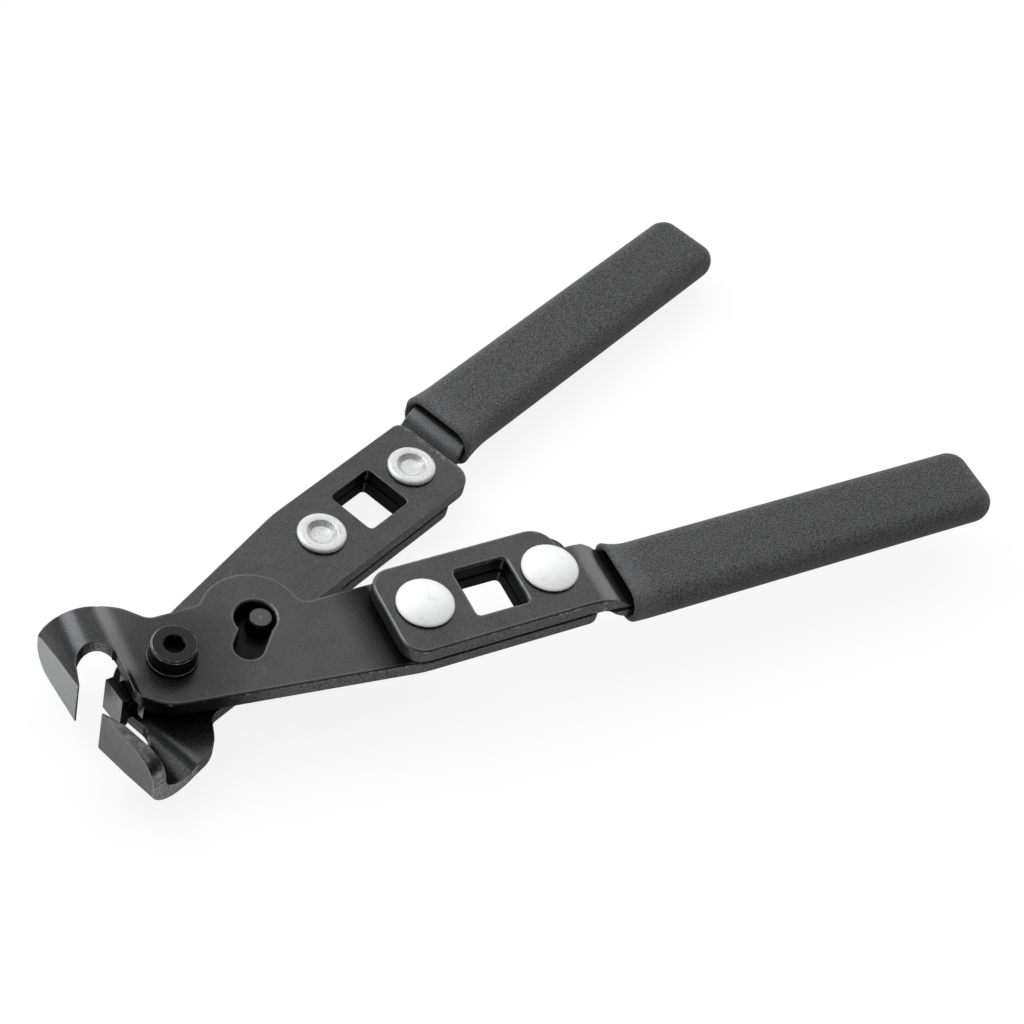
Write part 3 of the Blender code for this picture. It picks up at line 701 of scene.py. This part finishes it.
def grey_foam(colours, sizes):
    """Matt foam with fine light and dark specks and a soft sheen."""
    look = Finish("grey_foam")
    where = look.place()
    cells = look.noise(where, sizes.foam_cell, 2.0, 0.6)
    patches = look.noise(where, PATCH, 3.0)
    pits = cells.fall(*FOAM_PIT_LEVELS)
    sparks = look.noise(where, sizes.foam_cell * SPARK_SIZE, 1.0).rise(*SPARK_LEVELS)
    lint = look.specks(where, LINT_GAP, LINT)
    along = look.parts(look.carried("lever"))[0]
    fade = FADE_SHARE * along.fall(GRIP_LIP_X, GRIP_FADE_X)
    lip = along.fall(GRIP_LIP_X, GRIP_LIP_X + GRIP_FLARE_LENGTH) + fade
    tone = FOAM_TONE + CELL_RANGE * (cells - 0.5) + PATCH_RANGE * (patches - 0.5)
    tone = tone + SPARK_BRIGHT * sparks - FOAM_PIT_DARK * pits + LINT_BRIGHT * lint
    return look.surface(
        Base_Color=look.toned(colours.foam, tone + LIP_BRIGHT * lip),
        Roughness=FOAM_ROUGH - SPARK_SMOOTH * sparks,
        Sheen_Weight=FOAM_SHEEN,
        Sheen_Roughness=SHEEN_ROUGH,
        Normal=look.bump(cells + sparks * SPARK_BUMP, FOAM_BUMP),
    )


def lever_points(node, side):
    """A CAD node's corners in its lever's own coordinates."""
    back = LEVER_PLACE[side].inverted()
    return [back @ vertex.co for vertex in frame["nodes"][node].data.vertices]


def limits(points):
    low = Vector(min(point[i] for point in points) for i in range(3))
    high = Vector(max(point[i] for point in points) for i in range(3))
    return low, high


def clean_shell(node, marks):
    """A CAD node's mesh as a closed shell with one face for each flat, and layers for its marks."""
    if node not in frame["nodes"]:
        raise RuntimeError(f"the packed model has no node {node}")
    source = frame["nodes"][node].data
    shell = bmesh.new()
    corners = [shell.verts.new(vertex.co) for vertex in source.vertices]
    for polygon in source.polygons:
        shell.faces.new([corners[i] for i in polygon.vertices])
    bmesh.ops.remove_doubles(shell, verts=shell.verts, dist=WELD)
    bmesh.ops.dissolve_limit(shell, angle_limit=FLAT_ANGLE, verts=shell.verts, edges=shell.edges)
    bmesh.ops.dissolve_degenerate(shell, dist=SHORTEST_EDGE, edges=shell.edges)
    for mark in marks:
        shell.faces.layers.float.new(mark)
    return shell


def round_edges(shell, edges, radius, steps):
    """Rounds edges and marks the faces that this makes."""
    mark = shell.faces.layers.float["edge"]
    made = bmesh.ops.bevel(
        shell, geom=edges, offset=radius, offset_type="OFFSET", segments=steps, profile=0.5,
        affect="EDGES", clamp_overlap=False, loop_slide=False,
    )
    for face in made["faces"]:
        face[mark] = 1.0


def sharp_edges(shell):
    """The edges that are still sharp and have no rounding beside them."""
    mark = shell.faces.layers.float["edge"]
    return [
        edge for edge in shell.edges
        if edge.is_manifold and edge.calc_face_angle() > SHARP_ANGLE
        and not any(face[mark] for face in edge.link_faces)
    ]


def rolled_edges(shell, side):
    """The edges round the outer flat of a plate, behind its jaw."""
    back = LEVER_PLACE[side].inverted()
    turn = back.to_3x3()
    found = []
    for edge in shell.edges:
        if not edge.is_manifold or min((back @ corner.co).x for corner in edge.verts) < JAW_X:
            continue
        low, high = sorted((turn @ face.normal).z for face in edge.link_faces)
        if high > FLAT_TILT and abs(low) < WALL_TILT:
            found.append(edge)
    return found


def mark_walls(shell, side):
    """Marks a plate's cut walls, the walls of its holes for painted shade, and a jaw's ground front and free
    rim; the lower jaw's front gets less ground colour, as painted shade.
    """
    edge = shell.faces.layers.float["edge"]
    cut = shell.faces.layers.float["cut"]
    ground = shell.faces.layers.float["ground"]
    rim = shell.faces.layers.float["rim"]
    deep = shell.faces.layers.float["deep"]
    walls = BVHTree.FromBMesh(shell)
    back = LEVER_PLACE[side].inverted()
    turn = back.to_3x3()
    for face in shell.faces:
        normal = turn @ face.normal
        place = back @ face.calc_center_median()
        if place.x < JAW_X and place.z < RIM_Z and normal.z < -RIM_DOWN and abs(normal.x) < RIM_SKEW:
            face[rim] = 1.0
        if abs(normal.z) > (EDGE_TILT if face[edge] else WALL_TILT):
            continue
        # Walls that face another wall close by are marked deep, for painted shade
        if walls.ray_cast(face.calc_center_median() + face.normal * WELD, face.normal, HOLE_REACH)[0]:
            face[deep] = 1.0
        if place.x < JAW_X and abs(normal.y) < SLANT:
            continue
        face[cut] = 1.0
        if place.x < GROUND_X and normal.x < -GROUND_TILT:
            face[cut] = 0.0
            # The lower jaw's front takes less ground colour, as painted shade
            face[ground] = GROUND_SHARE_WITH_SHADE[side]


def mesh_of(shell, name, material):
    """Turns a shell into a smooth-shaded mesh in one material, and frees the shell."""
    mesh = bpy.data.meshes.new(name)
    shell.to_mesh(mesh)
    shell.free()
    mesh.materials.append(material)
    mesh.shade_smooth()
    return mesh


def carry(mesh, name, points):
    """Stores one vector on each corner of a mesh, for its material to read."""
    layer = mesh.attributes.new(name, "FLOAT_VECTOR", "POINT")
    for item, point in zip(layer.data, points):
        item.vector = point


def baked(thing):
    """The plain mesh that an object's modifiers make. The object is used up."""
    graph = bpy.context.evaluated_depsgraph_get()
    mesh = bpy.data.meshes.new_from_object(thing.evaluated_get(graph))
    bpy.data.objects.remove(thing)
    return mesh


def linked(name, mesh):
    thing = bpy.data.objects.new(name, mesh)
    bpy.context.scene.collection.objects.link(thing)
    return thing


def even_shading(mesh):
    """The mesh with normals that follow its larger faces."""
    helper = linked("helper", mesh)
    weights = helper.modifiers.new("weights", "WEIGHTED_NORMAL")
    weights.mode = "FACE_AREA"
    weights.weight = 50
    weights.keep_sharp = True
    return baked(helper)


def round_jaw(mesh, side):
    """Gives the flat strips of a jaw the normals of the rounds that they follow."""
    turn = LEVER_PLACE[side].to_3x3()
    back = LEVER_PLACE[side].inverted()
    normals = [corner.vector.copy() for corner in mesh.corner_normals]
    for strip in mesh.polygons:
        lean = strip.normal @ turn
        if abs(lean.y) > STRIP_SKEW:
            continue
        for i in strip.loop_indices:
            corner = back @ mesh.vertices[mesh.loops[i].vertex_index].co
            for x, z, radius in (CURL, HOLLOW, HOLLOW_ROOT):
                spoke = Vector((corner.x - x, 0.0, corner.z - z))
                if abs(spoke.length - radius) > STRIP_SAG:
                    continue
                spoke = spoke.normalized() * math.copysign(1.0, spoke.dot(lean))
                if spoke.dot(lean) > STRIP_LEAN:
                    normals[i] = turn @ spoke
    mesh.normals_split_custom_set(normals)
    return mesh


def place_piece(name, mesh, body, nodes):
    """Puts a finished mesh in the scene in place of the CAD nodes that it shows."""
    mesh.name = name
    piece = linked(name, mesh)
    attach(piece, body)
    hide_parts(*nodes)
    return piece


def dress_plate(node, side, sizes, material):
    """Rounds a plate's edges, marks its walls, and puts it in black steel."""
    shell = clean_shell(node, ("edge", "cut", "deep", "ground", "rim"))
    round_edges(shell, rolled_edges(shell, side), sizes.plate_roll, ROLL_STEPS)
    round_edges(shell, sharp_edges(shell), sizes.plate_round, ROUND_STEPS)
    mark_walls(shell, side)
    mesh = mesh_of(shell, node, material)
    back = LEVER_PLACE[side].inverted()
    carry(mesh, "lever", [back @ vertex.co for vertex in mesh.vertices])
    mesh = round_jaw(even_shading(mesh), side)
    place_piece(f"{node}_dressed", mesh, f"{side}_handle", [node])


def mark_rims(shell, axis, wear_and_highlight):
    """Marks a turned part's outer rims with this much wear and painted highlight, and the inside of its
    recess for painted shade.
    """
    mark = shell.faces.layers.float["edge"]
    deep = shell.faces.layers.float["deep"]
    top = max(corner.co.z for corner in shell.verts)
    for face in shell.faces:
        place = face.calc_center_median()
        radius = (place - axis).xy.length
        slanted = RIM_TILT[0] < abs(face.normal.z) < RIM_TILT[1]
        face[mark] = wear_and_highlight if radius > RIM_FROM and (face[mark] or slanted) else 0.0
        # The inside of the recess is marked deep, for painted shade
        face[deep] = 1.0 if radius < RECESS_R and place.z < top - RECESS_LIP else 0.0


def mark_ground(shell, way, amount):
    """Marks the faces that were ground bright, which look this way."""
    mark = shell.faces.layers.float["ground"]
    for face in shell.faces:
        face[mark] = amount if face.normal.dot(way) > FLAT_TILT else 0.0


def dress_hardware(node, body, axis, sizes, wear_and_highlight, material, bright_way=None, brightness=1.0):
    """Rounds a hard part's edges, marks its rims for wear and painted highlight, its recess for painted shade
    and its bright face, and puts it in dark steel.
    """
    shell = clean_shell(node, ("edge", "ground", "deep"))
    if bright_way:
        mark_ground(shell, bright_way, brightness)
    round_edges(shell, sharp_edges(shell), sizes.pin_round, ROUND_STEPS)
    mark_rims(shell, axis, wear_and_highlight)
    mesh = mesh_of(shell, node, material)
    carry(mesh, "around", [vertex.co - axis for vertex in mesh.vertices])
    place_piece(f"{node}_dressed", even_shading(mesh), body, [node])


def rivet_profile(tail_end, head_top, head_r):
    """Half of a rivet's section as (radius, height) points, from the tail's middle to the top of the dome."""
    head_seat = head_top - RIVET_HEAD_H
    tail_seat = tail_end + RIVET_TAIL_H
    dome = RIVET_HEAD_H - RIVET_LIP
    dome_r = (head_r**2 + dome**2) / (2 * dome)
    half = math.asin(head_r / dome_r)
    points = [
        (0.0, tail_end + RIVET_DIMPLE_H),
        (RIVET_FLOOR_R - RIVET_LIP * 0.3, tail_end + RIVET_DIMPLE_H),
        (RIVET_FLOOR_R, tail_end + RIVET_DIMPLE_H * 0.95),
        (RIVET_DIMPLE_R - RIVET_LIP * 0.8, tail_end + RIVET_DIMPLE_H * 0.20),
        (RIVET_DIMPLE_R - RIVET_LIP * 0.4, tail_end + RIVET_DIMPLE_H * 0.10),
        (RIVET_DIMPLE_R, tail_end + RIVET_DIMPLE_H * 0.05),
        (RIVET_DIMPLE_R + RIVET_LIP, tail_end),
        (RIVET_TAIL_R - 2 * RIVET_LIP, tail_end + RIVET_LIP * 0.1),
        (RIVET_TAIL_R - RIVET_LIP * 0.6, tail_end + RIVET_LIP * 0.5),
        (RIVET_TAIL_R, tail_end + RIVET_LIP * 1.4),
        (RIVET_TAIL_R, tail_seat),
        (RIVET_R, tail_seat),
        (RIVET_R, head_seat),
        (head_r - RIVET_LIP * 0.2, head_seat),
        (head_r, head_seat + RIVET_LIP * 0.2),
    ]
    for i in range(RIVET_STEPS + 1):
        angle = half * (1 - i / RIVET_STEPS)
        points.append((dome_r * math.sin(angle), head_top - dome_r * (1 - math.cos(angle))))
    return points


def turned_mesh(name, profile, sides, material):
    """A solid of revolution about Z that carries its own coordinates."""
    shell = bmesh.new()
    points = [shell.verts.new((radius, 0.0, height)) for radius, height in profile]
    edges = [shell.edges.new(pair) for pair in zip(points, points[1:])]
    bmesh.ops.spin(shell, geom=points + edges, axis=(0, 0, 1), angle=math.tau, steps=sides)
    bmesh.ops.remove_doubles(shell, verts=shell.verts, dist=WELD / 4)
    bmesh.ops.recalc_face_normals(shell, faces=shell.faces)
    mesh = mesh_of(shell, name, material)
    carry(mesh, "around", [vertex.co for vertex in mesh.vertices])
    return mesh


def repeat_tree():
    """Geometry Nodes that repeat a mesh along a line."""
    tree = bpy.data.node_groups.new("repeat_along_line", "GeometryNodeTree")
    for name, kind in (
        ("Geometry", "NodeSocketGeometry"), ("Count", "NodeSocketInt"),
        ("Start", "NodeSocketVector"), ("Step", "NodeSocketVector"), ("Material", "NodeSocketMaterial"),
    ):
        tree.interface.new_socket(name, in_out="INPUT", socket_type=kind)
    tree.interface.new_socket("Geometry", in_out="OUTPUT", socket_type="NodeSocketGeometry")
    nodes = tree.nodes
    given = nodes.new("NodeGroupInput")
    line = nodes.new("GeometryNodeMeshLine")
    copies = nodes.new("GeometryNodeInstanceOnPoints")
    solid = nodes.new("GeometryNodeRealizeInstances")
    painted = nodes.new("GeometryNodeSetMaterial")
    result = nodes.new("NodeGroupOutput")
    for start, end in (
        (given.outputs["Count"], line.inputs["Count"]),
        (given.outputs["Start"], line.inputs["Start Location"]),
        (given.outputs["Step"], line.inputs["Offset"]),
        (line.outputs["Mesh"], copies.inputs["Points"]),
        (given.outputs["Geometry"], copies.inputs["Instance"]),
        (copies.outputs["Instances"], solid.inputs["Geometry"]),
        (solid.outputs["Geometry"], painted.inputs["Geometry"]),
        (given.outputs["Material"], painted.inputs["Material"]),
        (painted.outputs["Geometry"], result.inputs["Geometry"]),
    ):
        tree.links.new(start, end)
    return tree


def repeated(mesh, tree, **values):
    """The plain mesh of a piece repeated along a line."""
    helper = linked("helper", mesh)
    modifier = helper.modifiers.new("repeat", "NODES")
    modifier.node_group = tree
    sockets = {item.name: item.identifier for item in tree.interface.items_tree if item.in_out == "INPUT"}
    for name, value in values.items():
        modifier[sockets[name]] = value
    return baked(helper)


def grip_ring(shell, x, middle, half_width, half_thickness, radius):
    """One section of the grip: a rectangle with round corners, as a loop of corners."""
    radius = min(radius, half_thickness - GRIP_FLAT, half_width)
    loop = []
    for quarter, (u, v) in enumerate(((1, 1), (-1, 1), (-1, -1), (1, -1))):
        for i in range(GRIP_CORNER_STEPS + 1):
            angle = math.pi / 2 * (quarter + i / GRIP_CORNER_STEPS)
            loop.append(shell.verts.new((
                x,
                middle.y + u * (half_width - radius) + radius * math.cos(angle),
                middle.z + v * (half_thickness - radius) + radius * math.sin(angle),
            )))
    return loop


def grip_mesh(start, end, gape, material):
    """A foam sleeve with a raised, flared mouth that gapes below, a pocket for the bar and a round end."""
    mouth_x = start + GRIP_INSIDE
    shell = bmesh.new()

    def ring(x, inset, thin=None):
        near = max(0.0, 1.0 - (x - mouth_x) / GRIP_FLARE_LENGTH) ** 2
        grow = GRIP_FLARE * near - GRIP_INSIDE
        middle = Vector((x, GRIP_Y, GRIP_Z + (GRIP_RAISE - gape / 2) * near))
        half_width = GRIP_WIDTH / 2 + grow - inset
        half_thickness = (GRIP_THICKNESS + gape * near) / 2 + grow - (inset if thin is None else thin)
        return grip_ring(shell, x, middle, half_width, half_thickness, GRIP_EDGE_R)

    loops = [ring(mouth_x + x, GRIP_WALL) for x in (GRIP_POCKET, GRIP_POCKET / 2, 2 * GRIP_MOUTH_R)]
    loops.append(ring(mouth_x + GRIP_MOUTH_R, GRIP_WALL))
    for i in range(GRIP_MOUTH_STEPS + 1):
        angle = math.pi / 2 * i / GRIP_MOUTH_STEPS
        loops.append(ring(
            mouth_x + GRIP_MOUTH_R * (1 - math.cos(angle)), GRIP_MOUTH_R * (1 - math.sin(angle)),
        ))
    flare_start = mouth_x + GRIP_MOUTH_R
    flare_end = mouth_x + GRIP_FLARE_LENGTH
    for i in range(1, GRIP_FLARE_STEPS + 1):
        loops.append(ring(flare_start + (flare_end - flare_start) * i / GRIP_FLARE_STEPS, 0.0))
    round_start = end - GRIP_INSIDE - GRIP_END_R
    for i in range(1, GRIP_STATIONS):
        loops.append(ring(flare_end + (round_start - flare_end) * i / GRIP_STATIONS, 0.0))
    for i in range(GRIP_END_STEPS + 1):
        angle = math.pi / 2 * i / GRIP_END_STEPS
        fall = 1 - math.cos(angle)
        loops.append(ring(round_start + GRIP_END_R * math.sin(angle), GRIP_END_R * fall, GRIP_EDGE_R * fall))
    for near, far in zip(loops, loops[1:]):
        for i in range(len(near)):
            shell.faces.new((near[i - 1], near[i], far[i], far[i - 1]))
    shell.faces.new(loops[0])
    shell.faces.new(loops[-1])
    bmesh.ops.remove_doubles(shell, verts=shell.verts, dist=WELD / 4)
    bmesh.ops.recalc_face_normals(shell, faces=shell.faces)
    mesh = mesh_of(shell, "grip", material)
    carry(mesh, "lever", [vertex.co for vertex in mesh.vertices])
    return mesh


class PLIERS_OT_plates(bpy.types.Operator):
    """Dresses both jaw levers and both handle tangs in black steel"""

    bl_idname = "pliers.plates"
    bl_label = "Levers and tangs"

    def execute(self, context):
        sizes = context.scene.pliers_sizes
        material = black_oxide(context.scene.pliers_colours, sizes)
        for side in SIDES:
            for plate in ("jaw_lever", "handle_tang"):
                dress_plate(f"{plate}_{side}", side, sizes, material)
        return {"FINISHED"}


class PLIERS_OT_rivets(bpy.types.Operator):
    """Makes the rivets of both handles"""

    bl_idname = "pliers.rivets"
    bl_label = "Rivets"

    def execute(self, context):
        sizes = context.scene.pliers_sizes
        material = bare_rivet(context.scene.pliers_colours, sizes)
        tree = repeat_tree()
        for side in SIDES:
            nodes = [f"tang_rivet_{side}_{end}" for end in ("front", "rear")]
            boxes = [limits(lever_points(node, side)) for node in nodes]
            first, last = [(low + high) / 2 for low, high in boxes]
            low, high = boxes[0]
            profile = rivet_profile(low.z, high.z, (high.x - low.x) / 2)
            steps = max(1, sizes.rivets_per_handle - 1)
            mesh = repeated(
                turned_mesh("rivet", profile, RIVET_SIDES, material), tree,
                Count=sizes.rivets_per_handle, Start=(first.x, first.y, 0.0),
                Step=((last.x - first.x) / steps, (last.y - first.y) / steps, 0.0), Material=material,
            )
            mesh.transform(LEVER_PLACE[side])
            place_piece(f"tang_rivets_{side}", mesh, f"{side}_handle", nodes)
        return {"FINISHED"}


class PLIERS_OT_grips(bpy.types.Operator):
    """Makes both foam grips"""

    bl_idname = "pliers.grips"
    bl_label = "Grips"

    def execute(self, context):
        material = grey_foam(context.scene.pliers_colours, context.scene.pliers_sizes)
        for side in SIDES:
            node = f"grip_sleeve_{side}"
            low, high = limits(lever_points(node, side))
            mesh = grip_mesh(low.x, high.x, GRIP_OPEN[side], material)
            mesh.transform(LEVER_PLACE[side])
            place_piece(f"grip_foam_{side}", mesh, f"{side}_handle", [node])
        return {"FINISHED"}


class PLIERS_OT_pivot(bpy.types.Operator):
    """Dresses the pivot's screw, washers, sleeve and nut"""

    bl_idname = "pliers.pivot"
    bl_label = "Pivot"

    def execute(self, context):
        sizes = context.scene.pliers_sizes
        colours = context.scene.pliers_colours
        material = dark_hardware("dark_hardware", colours.hardware, colours, sizes)
        # Wear and painted highlight on each part's rims
        wear_and_highlight = {"screw": 0.45, "washer_top": 0.50, "washer_bottom": 0.50, "sleeve": 0.1, "nut": 0.3}
        for part, amount in wear_and_highlight.items():
            dress_hardware(f"pivot_{part}", "pivot", PIVOT, sizes, amount, material)
        return {"FINISHED"}


class PLIERS_OT_anvil(bpy.types.Operator):
    """Dresses the anvil's slide and the cam pin that drives it"""

    bl_idname = "pliers.anvil"
    bl_label = "Anvil and cam pin"

    def execute(self, context):
        sizes = context.scene.pliers_sizes
        colours = context.scene.pliers_colours
        material = dark_hardware("slide_steel", colours.slide, colours, sizes)
        # Each row: node, wear and painted highlight on its rims, the way its bright face looks, and that
        # face's brightness
        for node, wear_and_highlight, bright_way, brightness in (
            ("anvil_slide", 0.10, Vector((-1.0, 0.0, 0.0)), 0.68),
            ("cam_pin", 0.06, Vector((0.0, 0.0, 1.0)), 0.28),
        ):
            low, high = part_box(node)
            axis = (Vector(low) + Vector(high)) / 2
            dress_hardware(node, "anvil", axis, sizes, wear_and_highlight, material, bright_way, brightness)
        return {"FINISHED"}


def area_light(name, place, power, size, colour):
    """A square soft light that looks at the tool."""
    data = bpy.data.lights.new(name, "AREA")
    data.energy = power
    data.size = size
    data.color = colour
    light = linked(name, data)
    light.location = place
    light.rotation_euler = (-Vector(place)).to_track_quat("-Z", "Y").to_euler()
    return light


def white_world(strength):
    """White to the camera, and a soft room to everything else."""
    world = bpy.data.worlds.new("studio")
    world.use_nodes = True
    bpy.context.scene.world = world
    look = Look(world.node_tree)
    camera, mirror = look.rays()
    x, y, height = look.parts(look.add("ShaderNodeTexCoord", None, None, "Generated"))
    backdrop = height.fall(*BACKDROP_TOP) * y.rise(*BACKDROP_SIDE)
    ceiling = (CEILING_WAY[0] * x + CEILING_WAY[1] * y + CEILING_WAY[2] * height).rise(*CEILING_LEVELS)
    mirrored = MIRROR_DARK + MIRROR_SKY * height.rise(*SKY_LEVELS)
    mirrored = mirrored + MIRROR_CEILING * ceiling + MIRROR_BACKDROP * backdrop
    dome = DOME_DARK + DOME_BRIGHT * (DOME_WAY[0] * y + DOME_WAY[1] * height).rise(*DOME_LEVELS)
    room = mirror * mirrored + (1.0 - mirror) * (strength * dome)
    amount = camera + (1.0 - camera) * room
    background = world.node_tree.nodes["Background"]
    look.feed(background.inputs["Color"], WHITE)
    look.feed(background.inputs["Strength"], amount)


def white_floor(colour, bounce):
    """A pale floor that stays white to the camera, and keeps a soft shadow."""
    mesh = bpy.data.meshes.new("floor")
    corners = [(FLOOR_REACH * x, FLOOR_REACH * y, 0.0) for x, y in ((-1, -1), (1, -1), (1, 1), (-1, 1))]
    mesh.from_pydata(corners, [], [range(4)])
    look = Finish("floor")
    camera, mirror = look.rays()
    dim = [bounce * part for part in colour]
    look.surface(Base_Color=look.mixed(camera.most(mirror), dim, colour), Roughness=1.0)
    glow = look.add("ShaderNodeEmission", None, {"Color": WHITE, "Strength": 1.0})
    paper = Wire(look, look.shader.outputs["BSDF"])
    share = (camera * FLOOR_WHITE).most(mirror * FLOOR_MIRROR)
    surface = look.add("ShaderNodeMixShader", None, {0: share, 1: paper, 2: glow})
    look.feed(look.tree.nodes["Material Output"].inputs["Surface"], surface)
    mesh.materials.append(look.material)
    return linked("floor", mesh)


class PLIERS_OT_stage(bpy.types.Operator):
    """Sets the white floor, the soft lights and the camera"""

    bl_idname = "pliers.stage"
    bl_label = "Stage"

    def execute(self, context):
        scene = context.scene
        studio = scene.pliers_studio
        floor = white_floor(scene.pliers_colours.floor, studio.bounce)
        key = area_light("key_light", Vector(studio.key_place), studio.key_power, KEY_SIZE, KEY_TINT)
        white_world(studio.sky)
        data = bpy.data.cameras.new("photo_camera")
        data.sensor_width = SENSOR
        data.lens = studio.lens
        camera = linked("photo_camera", data)
        camera.location = PIVOT + Vector(studio.camera_place)
        camera.rotation_euler = Euler(studio.camera_turn)
        scene.camera = camera
        scene.view_settings.view_transform = "Standard"
        return {"FINISHED"}


class PLIERS_PT_build(bpy.types.Panel):
    """Lists the steps that dress the pliers, with their sizes and colours"""

    bl_idname = "PLIERS_PT_build"
    bl_label = "Ear Clamp Pliers"
    bl_space_type = "VIEW_3D"
    bl_region_type = "UI"
    bl_category = "Pliers"

    def draw(self, context):
        layout = self.layout
        for step in STEPS:
            layout.operator(step.bl_idname)
        for group in (
            context.scene.pliers_sizes, context.scene.pliers_colours, context.scene.pliers_studio,
        ):
            column = layout.column()
            for name in group.bl_rna.properties.keys():
                if name not in ("rna_type", "name"):
                    column.prop(group, name)


STEPS = (
    PLIERS_OT_plates, PLIERS_OT_rivets, PLIERS_OT_grips, PLIERS_OT_pivot, PLIERS_OT_anvil, PLIERS_OT_stage,
)
CLASSES = (PliersSizes, PliersColours, PliersStudio, *STEPS, PLIERS_PT_build)


def register():
    for item in CLASSES:
        bpy.utils.register_class(item)
    bpy.types.Scene.pliers_sizes = PointerProperty(type=PliersSizes)
    bpy.types.Scene.pliers_colours = PointerProperty(type=PliersColours)
    bpy.types.Scene.pliers_studio = PointerProperty(type=PliersStudio)


def unregister():
    del bpy.types.Scene.pliers_studio
    del bpy.types.Scene.pliers_colours
    del bpy.types.Scene.pliers_sizes
    for item in reversed(CLASSES):
        bpy.utils.unregister_class(item)


def main():
    register()
    bpy.ops.pliers.plates()
    bpy.ops.pliers.rivets()
    bpy.ops.pliers.grips()
    bpy.ops.pliers.pivot()
    bpy.ops.pliers.anvil()
    bpy.ops.pliers.stage()


if __name__ == "__main__":
    main()
